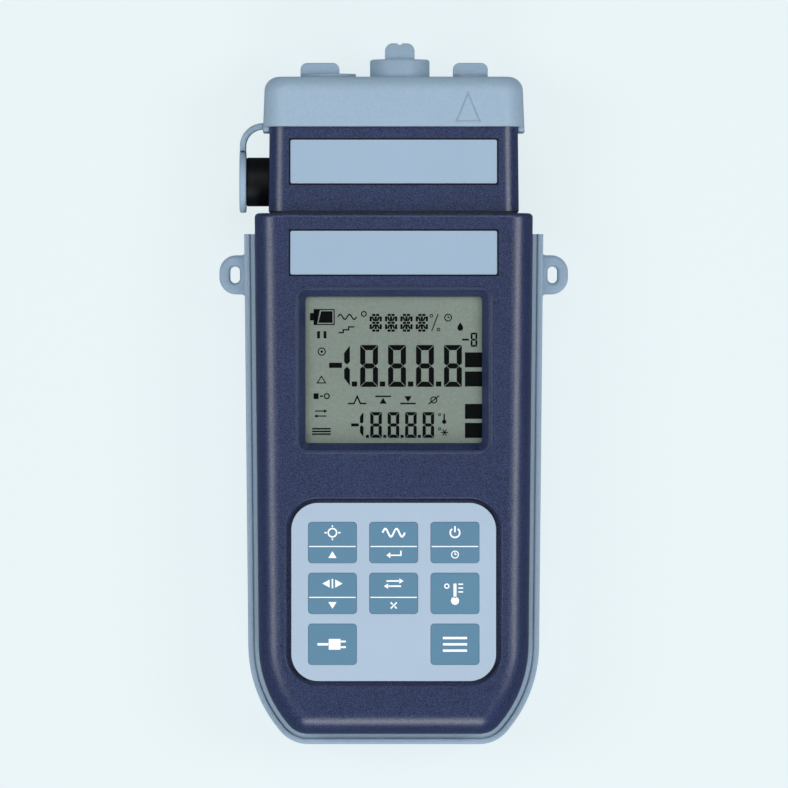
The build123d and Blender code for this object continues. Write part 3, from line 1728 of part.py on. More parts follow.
# Battery cover with two hooks at its upper end and a screw at its foot
with BuildPart() as battery_cover:
    with BuildSketch(Plane.XY.offset(z_back)):
        with Locations((0, y_battery_cover)):
            RectangleRounded(battery_cover_width, battery_cover_length, cover_corner)
    extrude(amount=cover_thickness)
    # Finger grooves across the outer face
    with BuildSketch(Plane.XY.offset(z_back)):
        with Locations((0, y_cover_foot + grip_place)):
            with GridLocations(0, grip_pitch, 1, 4):
                SlotOverall(grip_length, grip_width)
    extrude(amount=grip_depth, mode=Mode.SUBTRACT)
    # Hooks that reach behind the wall of the case
    z_hook = z_back + back_wall + hook_wall_gap
    with BuildSketch(Plane.XY.offset(z_back + cover_thickness - seat)):
        y_stem = y_hinge - hook_stem_setback
        with Locations((-hook_x, y_stem), (hook_x, y_stem)):
            Rectangle(hook_width, hook_stem)
    extrude(amount=z_hook + hook_thickness - z_back - cover_thickness + seat)
    with BuildSketch(Plane.XY.offset(z_hook)):
        with Locations((-hook_x, y_hinge), (hook_x, y_hinge)):
            Rectangle(hook_width, 2 * hook_reach)
    extrude(amount=hook_thickness)
    # Sunk hole of the screw
    with BuildSketch(Plane.XY.offset(z_back)):
        with Locations((0, y_cover_screw)):
            Circle(screw_head_radius + fastener_clearance)
    extrude(amount=cover_thickness / 2, mode=Mode.SUBTRACT)
    with BuildSketch(Plane.XY.offset(z_back)):
        with Locations((0, y_cover_screw)):
            Circle(screw_radius + fastener_clearance / 2)
    extrude(amount=cover_thickness, mode=Mode.SUBTRACT)
finish(battery_cover.part, "battery_cover")

with BuildPart() as battery_cover_screw:
    z_head = z_back + cover_screw_sink
    with BuildSketch(Plane.XY.offset(z_head)):
        with Locations((0, y_cover_screw)):
            Circle(screw_head_radius)
    extrude(amount=z_back + cover_thickness / 2 - thin_gap - z_head)
    with BuildSketch(Plane.XY.offset(z_head)):
        with Locations((0, y_cover_screw)):
            Circle(screw_radius)
    extrude(amount=cover_screw_shank)
    with BuildSketch(Plane.XY.offset(z_head)):
        with Locations((0, y_cover_screw)):
            Rectangle(cover_screw_cross_length, screw_cross_width)
            Rectangle(screw_cross_width, cover_screw_cross_length)
    extrude(amount=cover_screw_cross_depth, mode=Mode.SUBTRACT)
finish(battery_cover_screw.part, "battery_cover_screw")
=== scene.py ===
import math

import bmesh
import bpy
from bpy.props import FloatProperty, IntProperty, PointerProperty, StringProperty
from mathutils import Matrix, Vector
from mathutils.geometry import tessellate_polygon


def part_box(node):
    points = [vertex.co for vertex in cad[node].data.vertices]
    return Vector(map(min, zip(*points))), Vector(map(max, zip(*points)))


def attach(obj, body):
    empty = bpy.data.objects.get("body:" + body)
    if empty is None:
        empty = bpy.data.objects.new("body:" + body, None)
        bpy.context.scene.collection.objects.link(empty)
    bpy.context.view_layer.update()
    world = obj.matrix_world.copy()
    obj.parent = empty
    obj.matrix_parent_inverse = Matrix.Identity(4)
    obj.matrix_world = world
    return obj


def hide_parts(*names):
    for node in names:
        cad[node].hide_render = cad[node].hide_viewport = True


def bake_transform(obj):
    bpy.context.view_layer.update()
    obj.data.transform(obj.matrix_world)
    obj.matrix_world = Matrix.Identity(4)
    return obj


bl_info = {
    "name": "Portable pH meter",
    "version": (1, 0, 0),
    "blender": (4, 5, 0),
    "location": "View3D > Sidebar > Meter",
    "description": "Dresses the packed parts of a hand-held pH meter",
    "category": "Object",
}

MM = 0.001
CAMERA_HEIGHT = 3.0
CAMERA_SHIFT = (0.08 * MM, -0.14 * MM)
LABEL_PLANE = 30 * MM
FLOOR_HALF = 4.0
FLOOR_DROP = 0.2 * MM
STRAP_THICKNESS = 1.75 * MM
STRAP_ROUND = 0.5 * MM
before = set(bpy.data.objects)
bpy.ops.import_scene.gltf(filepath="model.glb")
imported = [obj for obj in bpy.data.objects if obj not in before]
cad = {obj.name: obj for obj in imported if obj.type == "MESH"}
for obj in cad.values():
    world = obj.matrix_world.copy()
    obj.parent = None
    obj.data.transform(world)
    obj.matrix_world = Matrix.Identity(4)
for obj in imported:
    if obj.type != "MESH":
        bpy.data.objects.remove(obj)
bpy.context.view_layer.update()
SCREEN_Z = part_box("lcd_panel")[1].z
KEY_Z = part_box("key_up")[1].z


def linear(code):
    """Linear colour with full opacity from an sRGB hex value such as #3A4562."""
    parts = [int(code.lstrip("#")[i:i + 2], 16) / 255 for i in (0, 2, 4)]
    return [c / 12.92 if c <= 0.04045 else ((c + 0.055) / 1.055) ** 2.4 for c in parts] + [1.0]


def add_node(tree, kind, inputs=(), links=(), **settings):
    """Adds a node, sets its properties and sockets, and links outputs into its inputs."""
    node = tree.nodes.new(kind)
    for name, value in settings.items():
        setattr(node, name, value)
    for socket, value in dict(inputs).items():
        node.inputs[socket].default_value = value
    for socket, source in dict(links).items():
        tree.links.new(source, node.inputs[socket])
    return node


class MeterColours(bpy.types.PropertyGroup):
    case: StringProperty(name="Case", description="sRGB of the moulded case", default="#091434")
    # Colour of the grain's tips: partly their own tone, partly a painted glint
    fleck_and_glint: StringProperty(name="Case fleck", description="sRGB of the grain's tips", default="#475884")
    rubber: StringProperty(name="Rubber", description="sRGB of boot, cover and caps", default="#8EA5BA")
    bloom: StringProperty(name="Bloom", description="sRGB of the rubber's bloom", default="#95ACC0")
    plate: StringProperty(name="Name plates", description="sRGB of the two plates", default="#94ABC1")
    overlay: StringProperty(name="Overlay", description="sRGB of the keypad film", default="#A1B4C8")
    key: StringProperty(name="Keys", description="sRGB of the key tops", default="#547C96")
    legend: StringProperty(name="Legends", description="sRGB of the key marks", default="#EDF3F7")
    screen: StringProperty(name="Screen", description="sRGB of the display's ground", default="#76837B")
    segment: StringProperty(name="Segments", description="sRGB of the dark marks", default="#020306")
    floor: StringProperty(name="Floor", description="sRGB of the floor", default="#EBF6F9")
    paper: StringProperty(name="Paper", description="sRGB of the unlit floor", default="#575B5D")
    sky: StringProperty(name="Sky", description="sRGB of the light all round", default="#EEF5F8")


class MeterSizes(bpy.types.PropertyGroup):
    grain: FloatProperty(
        name="Case grain", description="Width of the moulded grain",
        default=0.24 * MM, subtype="DISTANCE", unit="LENGTH")
    mark_height: FloatProperty(
        name="Mark height", description="Thickness of printed marks",
        default=0.02 * MM, subtype="DISTANCE", unit="LENGTH")
    digit_pitch: FloatProperty(
        name="Digit pitch", description="Step of the large digits",
        default=7.81 * MM, subtype="DISTANCE", unit="LENGTH")
    digit_count: IntProperty(name="Digits", description="Number of large digits", default=4, min=1)
    # Width of the painted shade ring round each name plate, standing in for the shadow in the groove
    plate_gap_shade: FloatProperty(
        name="Plate gap", description="Width of the dark gap round the name plates",
        default=0.45 * MM, subtype="DISTANCE", unit="LENGTH")
    view_width: FloatProperty(
        name="View width", description="Width that the picture covers",
        default=220.64 * MM, subtype="DISTANCE", unit="LENGTH")


def colours():
    return bpy.context.scene.meter_colours


def sizes():
    return bpy.context.scene.meter_sizes


# Finishes


def shader_for(name):
    """A new material with a Principled shader, and the piece's own coordinates."""
    material = bpy.data.materials.new(name)
    material.use_nodes = True
    tree = material.node_tree
    tree.nodes.clear()
    shader = add_node(tree, "ShaderNodeBsdfPrincipled")
    add_node(tree, "ShaderNodeOutputMaterial", links={"Surface": shader.outputs["BSDF"]})
    place = add_node(tree, "ShaderNodeTexCoord").outputs["Object"]
    return material, tree, shader, place


def grained(
        name, dark, light, grain, depth, rough, low=0.4, high=0.7, gloss=0.5, blotch=0.04,
        edge=0.0):
    """Moulded or printed plastic: a fine grain in colour, height and gloss, soft wide blotches, and
    edges that catch the light as if rounded by the size given."""
    material, tree, shader, place = shader_for(name)
    fine = add_node(
        tree, "ShaderNodeTexNoise", {"Scale": 1 / grain, "Detail": 3.0, "Roughness": 0.6},
        {"Vector": place})
    wide = add_node(
        tree, "ShaderNodeTexNoise", {"Scale": 1 / (22 * MM), "Detail": 2.0}, {"Vector": place})
    tips = add_node(
        tree, "ShaderNodeMapRange", {"From Min": low, "From Max": high}, {"Value": fine.outputs["Fac"]})
    ground = add_node(
        tree, "ShaderNodeMix", {6: linear(dark), 7: linear(light)}, {0: tips.outputs[0]},
        data_type="RGBA")
    shade = add_node(
        tree, "ShaderNodeMapRange",
        {"From Min": 0.3, "From Max": 0.7, "To Min": 1 - blotch, "To Max": 1 + blotch},
        {"Value": wide.outputs["Fac"]})
    tint = add_node(
        tree, "ShaderNodeHueSaturation", links={"Color": ground.outputs[2], "Value": shade.outputs[0]})
    gloss_map = add_node(
        tree, "ShaderNodeMapRange", {"To Min": rough + 0.06, "To Max": rough - 0.06},
        {"Value": fine.outputs["Fac"]})
    bump = add_node(
        tree, "ShaderNodeBump", {"Strength": 0.6, "Distance": depth}, {"Height": fine.outputs["Fac"]})
    if edge:
        soft = add_node(tree, "ShaderNodeBevel", {"Radius": edge}, samples=4)
        tree.links.new(soft.outputs["Normal"], bump.inputs["Normal"])
    tree.links.new(tint.outputs["Color"], shader.inputs["Base Color"])
    tree.links.new(gloss_map.outputs[0], shader.inputs["Roughness"])
    tree.links.new(bump.outputs["Normal"], shader.inputs["Normal"])
    shader.inputs["Specular IOR Level"].default_value = gloss
    return material, tree, shader, place


def metal(name, code, stretch, rough):
    """Plated or bare metal: fine turning or rolling lines along one axis."""
    material, tree, shader, place = shader_for(name)
    along = add_node(tree, "ShaderNodeMapping", {"Scale": stretch}, {"Vector": place})
    lines = add_node(
        tree, "ShaderNodeTexNoise", {"Scale": 1 / (0.4 * MM), "Detail": 3.0},
        {"Vector": along.outputs["Vector"]})
    tone = add_node(
        tree, "ShaderNodeMapRange", {"To Min": 0.85, "To Max": 1.1}, {"Value": lines.outputs["Fac"]})
    tint = add_node(
        tree, "ShaderNodeHueSaturation", {"Color": linear(code)}, {"Value": tone.outputs[0]})
    gloss_map = add_node(
        tree, "ShaderNodeMapRange", {"To Min": rough - 0.08, "To Max": rough + 0.1},
        {"Value": lines.outputs["Fac"]})
    bump = add_node(
        tree, "ShaderNodeBump", {"Strength": 0.2, "Distance": 0.01 * MM},
        {"Height": lines.outputs["Fac"]})
    tree.links.new(tint.outputs["Color"], shader.inputs["Base Color"])
    tree.links.new(gloss_map.outputs[0], shader.inputs["Roughness"])
    tree.links.new(bump.outputs["Normal"], shader.inputs["Normal"])
    shader.inputs["Metallic"].default_value = 1.0
    return material


def dress(material, *names):
    """Gives CAD nodes one finish."""
    for name in names:
        mesh = cad[name].data
        mesh.materials.clear()
        mesh.materials.append(material)


# Flat marks. A shape is its outer outline and then its holes; outlines are in millimetres


def bar(x0, y0, x1, y1):
    return [[(x0, y0), (x1, y0), (x1, y1), (x0, y1)]]


def disc(x, y, radius, count=28):
    turn = 2 * math.pi / count
    return [[(x + radius * math.cos(i * turn), y + radius * math.sin(i * turn)) for i in range(count)]]


def ring(x, y, outer, inner):
    return disc(x, y, outer) + disc(x, y, inner)


def arrow(x, y, reach, half, turn):
    """A solid triangle whose tip points at the angle turn."""
    c, s = math.cos(math.radians(turn)), math.sin(math.radians(turn))
    corners = [(reach, 0), (-reach, half), (-reach, -half)]
    return [[(x + a * c - b * s, y + a * s + b * c) for a, b in corners]]


def stroke(points, width):
    """A line of even width along some points, mitred at its corners."""
    left, right = [], []
    last = len(points) - 1
    for i, (x, y) in enumerate(points):
        ways = []
        for a, b in ((points[max(i - 1, 0)], (x, y)), ((x, y), points[min(i + 1, last)])):
            length = math.hypot(b[0] - a[0], b[1] - a[1])
            if length > 0:
                ways.append(((b[0] - a[0]) / length, (b[1] - a[1]) / length))
        nx, ny = -sum(w[1] for w in ways), sum(w[0] for w in ways)
        size = math.hypot(nx, ny)
        nx, ny = nx / size, ny / size
        mitre = width / 2 / max(nx * -ways[0][1] + ny * ways[0][0], 0.4)
        left.append((x + nx * mitre, y + ny * mitre))
        right.append((x - nx * mitre, y - ny * mitre))
    return [left + right[::-1]]


def arc(x, y, radius, start, end, count=18):
    step = math.radians(end - start) / count
    first = math.radians(start)
    return [(x + radius * math.cos(first + i * step), y + radius * math.sin(first + i * step))
            for i in range(count + 1)]


def sine(height):
    """Just over two turns of a wave, 5.2 mm long."""
    return [(-2.6 + i * 0.26, height * math.sin(i * 0.63)) for i in range(21)]


def moved(shapes, x, y, size=1.0):
    return [[[(a * size + x, b * size + y) for a, b in outline] for outline in shape]
            for shape in shapes]


def seven_segments(w, h, t, gap):
    """The seven bars of one digit, with its foot at the left as origin."""
    m = h / 2
    top = [(gap, h), (w - gap, h), (w - t - gap, h - t), (t + gap, h - t)]
    side = [(0, h - gap), (t, h - t - gap), (t, m + t / 2 + gap / 2), (t / 2, m + gap), (0, m + t / 2)]
    middle = [
        (t / 2 + gap, m), (t + gap, m + t / 2), (w - t - gap, m + t / 2), (w - t / 2 - gap, m),
        (w - t - gap, m - t / 2), (t + gap, m - t / 2)]
    flip = [[(x, h - y) for x, y in part] for part in (top, side)]
    right = [[(w - x, y) for x, y in part] for part in (side, flip[1])]
    return [[part] for part in (top, side, middle, *flip, *right)]


def sixteen_segments(w, h, t):
    """One cell of a sixteen-bar display."""
    m, half, e = h / 2, w / 2, 0.09
    found = []
    for y in (h - t / 2, m, t / 2):
        found += [stroke([(e + t, y), (half - e, y)], t), stroke([(half + e, y), (w - e - t, y)], t)]
    for x in (t / 2, half, w - t / 2):
        found += [
            stroke([(x, e + t), (x, m - e - t / 2)], t),
            stroke([(x, m + e + t / 2), (x, h - e - t)], t)]
    for x in (1, -1):
        for y in (1, -1):
            near = (half + x * (t / 2 + 0.12), m + y * (t / 2 + 0.2))
            far = (half + x * (half - t - 0.14), m + y * (m - t - 0.2))
            found.append(stroke([near, far], t * 0.8))
    return found


def flat_marks(name, shapes, x, y, z, material):
    """Printed marks as thin closed plates, with x and y in millimetres and z in metres."""
    thick = sizes().mark_height
    work = bmesh.new()
    for shape in shapes:
        flat = [Vector(((x + a) * MM, (y + b) * MM, z)) for outline in shape for a, b in outline]
        levels = [
            [work.verts.new(point + Vector((0, 0, side * thick / 2))) for point in flat]
            for side in (-1, 1)]
        for a, b, c in tessellate_polygon([[Vector((p, q, 0)) for p, q in part] for part in shape]):
            for verts in levels:
                work.faces.new((verts[a], verts[b], verts[c]))
        first = 0
        for outline in shape:
            count = len(outline)
            for i in range(count):
                a, b = first + i, first + (i + 1) % count
                work.faces.new((levels[0][a], levels[0][b], levels[1][b], levels[1][a]))
            first += count
    bmesh.ops.recalc_face_normals(work, faces=work.faces)
    mesh = bpy.data.meshes.new(name)
    work.to_mesh(mesh)
    work.free()
    mesh.materials.append(material)
    piece = bpy.data.objects.new(name, mesh)
    bpy.context.scene.collection.objects.link(piece)
    return piece


def new_tree(name, sizes_in):
    """A geometry tree with named inputs for its sizes, and its input node."""
    tree = bpy.data.node_groups.new(name, "GeometryNodeTree")
    sockets = {"Geometry": "NodeSocketGeometry", **sizes_in}
    for socket, kind in sockets.items():
        tree.interface.new_socket(socket, in_out="INPUT", socket_type=kind)
    tree.interface.new_socket("Geometry", in_out="OUTPUT", socket_type="NodeSocketGeometry")
    return tree, add_node(tree, "NodeGroupInput")


def close_tree(tree, last, material):
    """Ends a tree in real geometry with its material."""
    real = add_node(tree, "GeometryNodeRealizeInstances", links={"Geometry": last.outputs[0]})
    painted = add_node(
        tree, "GeometryNodeSetMaterial", {"Material": material}, {"Geometry": real.outputs[0]})
    add_node(tree, "NodeGroupOutput", links={"Geometry": painted.outputs[0]})


def tree_mesh(piece, tree, values):
    """Runs a geometry tree once on a piece and gives the plain mesh."""
    modifier = piece.modifiers.new("tree", "NODES")
    modifier.node_group = tree
    for item in tree.interface.items_tree:
        if item.item_type == "SOCKET" and item.in_out == "INPUT" and item.name in values:
            modifier[item.identifier] = values[item.name]
    bpy.context.view_layer.update()
    evaluated = piece.evaluated_get(bpy.context.evaluated_depsgraph_get())
    mesh = bpy.data.meshes.new_from_object(evaluated)
    piece.modifiers.remove(modifier)
    return mesh


def mark_row(name, shapes, x, y, z, material, count, pitch):
    """A straight row of like marks: count copies, one pitch apart."""
    piece = flat_marks(name, shapes, x, y, z, material)
    tree, given = new_tree(name + "_row", {"Count": "NodeSocketInt", "Pitch": "NodeSocketVector"})
    line = add_node(
        tree, "GeometryNodeMeshLine", {"Start Location": (0, 0, 0)},
        {"Count": given.outputs["Count"], "Offset": given.outputs["Pitch"]})
    copies = add_node(
        tree, "GeometryNodeInstanceOnPoints",
        links={"Points": line.outputs["Mesh"], "Instance": given.outputs["Geometry"]})
    close_tree(tree, copies, material)
    single = piece.data
    piece.data = tree_mesh(piece, tree, {"Count": count, "Pitch": (*pitch, 0.0)})
    bpy.data.meshes.remove(single)
    return piece


class METER_OT_stage(bpy.types.Operator):
    """Floor, soft lights and the camera over the meter"""
    bl_idname = "meter.stage"
    bl_label = "Stage"

    def execute(self, context):
        scene = context.scene
        scene.view_settings.view_transform = "Standard"
        # Plain pale paper: only its upper side shows, so that views from below aren't hidden
        material, tree, shader, place = shader_for("pale_paper")
        fibre = add_node(
            tree, "ShaderNodeTexNoise", {"Scale": 1 / (1.5 * MM), "Detail": 2.0}, {"Vector": place})
        tone = add_node(
            tree, "ShaderNodeMapRange", {"To Min": 0.995, "To Max": 1.005},
            {"Value": fibre.outputs["Fac"]})
        tint = add_node(
            tree, "ShaderNodeHueSaturation", {"Color": linear(colours().paper)},
            {"Value": tone.outputs[0]})
        tree.links.new(tint.outputs["Color"], shader.inputs["Base Color"])
        shader.inputs["Roughness"].default_value = 0.9
        shader.inputs["Specular IOR Level"].default_value = 0.1
        shader.inputs["Emission Color"].default_value = linear(colours().floor)
        shader.inputs["Emission Strength"].default_value = 0.855
        clear = add_node(tree, "ShaderNodeBsdfTransparent")
        side = add_node(tree, "ShaderNodeNewGeometry")
        both = add_node(
            tree, "ShaderNodeMixShader",
            links={0: side.outputs["Backfacing"], 1: shader.outputs[0], 2: clear.outputs[0]})
        end = next(node for node in tree.nodes if node.type == "OUTPUT_MATERIAL")
        tree.links.new(both.outputs[0], end.inputs["Surface"])
        mesh = bpy.data.meshes.new("floor")
        # A hair below the boot's back, so that the two faces don't coincide
        corners = ((-1, -1), (1, -1), (1, 1), (-1, 1))
        mesh.from_pydata(
            [(x * FLOOR_HALF, y * FLOOR_HALF, -FLOOR_DROP) for x, y in corners], [], [(0, 1, 2, 3)])
        mesh.materials.append(material)
        floor = bpy.data.objects.new("floor", mesh)
        scene.collection.objects.link(floor)
        floor.visible_glossy = False
        world = bpy.data.worlds.new("studio")
        scene.world = world
        world.use_nodes = True
        sky = world.node_tree.nodes["Background"]
        sky.inputs["Color"].default_value = linear(colours().sky)
        sky.inputs["Strength"].default_value = 0.15
        # Soft boxes on all four sides, so that level faces don't mirror a lamp
        for name, x, y, z, width, power in (
            ("left_box", -1.0, 0.1, 1.35, 0.7, 11.2),
            ("right_box", 1.0, 0.1, 1.3, 0.6, 11.4),
            ("foot_box", 0.0, -1.15, 1.0, 0.7, 11.0),
            ("top_box", 0.0, 0.9, 1.5, 0.7, 4.5),
        ):
            data = bpy.data.lights.new(name, "AREA")
            data.shape = "SQUARE"
            data.size = width
            data.energy = power
            lamp = bpy.data.objects.new(name, data)
            scene.collection.objects.link(lamp)
            lamp.location = (x, y, z)
            aim = -lamp.location
            lamp.rotation_euler = aim.to_track_quat("-Z", "Y").to_euler()
            lamp.visible_camera = False
        eye = bpy.data.cameras.new("camera")
        eye.sensor_width = 36.0
        eye.lens = eye.sensor_width * (CAMERA_HEIGHT - LABEL_PLANE) / sizes().view_width
        camera = bpy.data.objects.new("camera", eye)
        scene.collection.objects.link(camera)
        camera.location = (*CAMERA_SHIFT, CAMERA_HEIGHT)
        scene.camera = camera
        return {"FINISHED"}


class METER_OT_case(bpy.types.Operator):
    """Finish of the case, the connector head and the battery cover"""
    bl_idname = "meter.case"
    bl_label = "Case"

    def execute(self, context):
        # ABS from a spark-eroded tool: dark, with a coarse grain. The grain's tips are painted lighter:
        # partly their own tone, partly a painted glint, beside the real gloss of their lower roughness
        shell = grained(
            "spark_eroded_abs", colours().case, colours().fleck_and_glint, sizes().grain, 0.07 * MM, 0.31,
            0.42, 0.78, 0.5, edge=0.3 * MM)[0]
        dress(shell, "front_case", "rear_case", "connector_head", "battery_cover")
        return {"FINISHED"}


class METER_OT_rubber(bpy.types.Operator):
    """Boot, cover, caps and the bent strap of the side plug"""
    bl_idname = "meter.rubber"
    bl_label = "Rubber parts"

    def execute(self, context):
        # Moulded thermoplastic rubber: satin skin, a powdery bloom and hardly any grain
        # The boot's bead is narrow, so its edges are crisper than those of the cover and caps
        rubber, boot = (
            grained(
                name, colours().rubber, colours().bloom, 0.9 * MM, 0.012 * MM, 0.52, 0.3, 0.7, 0.35,
                0.012, edge=edge)[0]
            for name, edge in (("satin_rubber", 0.8 * MM), ("moulded_boot_rubber", 0.15 * MM)))
        dress(rubber, "head_cover", "bnc_cap", "temperature_plug", "power_plug", "serial_plug")
        dress(boot, "protective_boot")
        low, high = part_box("plug_strap")
        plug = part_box("serial_plug")[1]
        x_end, y_top = low.x + STRAP_THICKNESS / 2, high.y - STRAP_THICKNESS / 2
        reach = high.x - x_end
        middle_z = (low.z + high.z) / 2
        curve = bpy.data.curves.new("strap_path", "CURVE")
        curve.dimensions = "3D"
        spline = curve.splines.new("BEZIER")
        spline.bezier_points.add(2)
        for point, (x, y), (hx, hy) in zip(
            spline.bezier_points,
            ((high.x, y_top), (x_end, y_top - reach), (x_end, plug.y + 0.1 * MM)),
            ((-0.55 * reach, 0), (0, -0.55 * reach), (0, -0.5 * MM)),
        ):
            point.co = (x, y, middle_z)
            point.handle_right = (x + hx, y + hy, middle_z)
            point.handle_left = (x - hx, y - hy, middle_z)
        spline.resolution_u = 20
        strap = bpy.data.objects.new("bent_strap", curve)
        context.scene.collection.objects.link(strap)
        tree, given = new_tree(
            "strap_sweep",
            {"Width": "NodeSocketFloat", "Thickness": "NodeSocketFloat", "Round": "NodeSocketFloat"})
        profile = add_node(
            tree, "GeometryNodeCurvePrimitiveQuadrilateral",
            links={"Width": given.outputs["Thickness"], "Height": given.outputs["Width"]})
        soft = add_node(
            tree, "GeometryNodeFilletCurve", {"Count": 4},
            {"Curve": profile.outputs[0], "Radius": given.outputs["Round"]}, mode="POLY")
        swept = add_node(
            tree, "GeometryNodeCurveToMesh", {"Fill Caps": True},
            {"Curve": given.outputs["Geometry"], "Profile Curve": soft.outputs[0]})
        smooth = add_node(tree, "GeometryNodeSetShadeSmooth", links={"Geometry": swept.outputs[0]})
        close_tree(tree, smooth, rubber)
        mesh = tree_mesh(
            strap, tree,
            {"Width": high.z - low.z, "Thickness": STRAP_THICKNESS, "Round": STRAP_ROUND})
        bpy.data.objects.remove(strap)
        piece = bpy.data.objects.new("plug_strap_bent", mesh)
        context.scene.collection.objects.link(piece)
        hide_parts("plug_strap")
        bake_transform(piece)
        return {"FINISHED"}


class METER_OT_plates(bpy.types.Operator):
    """Finish of the two bare name plates"""
    bl_idname = "meter.plates"
    bl_label = "Name plates"

    def execute(self, context):
        # Printed polyester film: even satin colour with a very fine orange peel
        film = grained(
            "satin_polyester_plate", colours().plate, "#98AFC4", 0.4 * MM, 0.004 * MM, 0.38,
            0.3, 0.7, 0.4, 0.012)[0]
        dress(film, "head_label", "body_label")
        # Painted shade: a thin near-black ring round each plate stands in for the shadow in the groove
        # between plate and recess
        gap = grained("plate_gap_shade", "#03050B", "#060912", 0.5 * MM, 0.004 * MM, 0.6, gloss=0.2)[0]
        for name in ("head_label", "body_label"):
            low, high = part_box(name)
            x0, y0, x1, y1 = (value / MM for value in (low.x, low.y, high.x, high.y))
            wide = sizes().plate_gap_shade / MM
            line = flat_marks(
                name + "_gap", [bar(x0 - wide, y0 - wide, x1 + wide, y1 + wide) + bar(x0, y0, x1, y1)],
                0, 0, high.z + 0.11 * MM, gap)
            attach(line, "root")
        return {"FINISHED"}


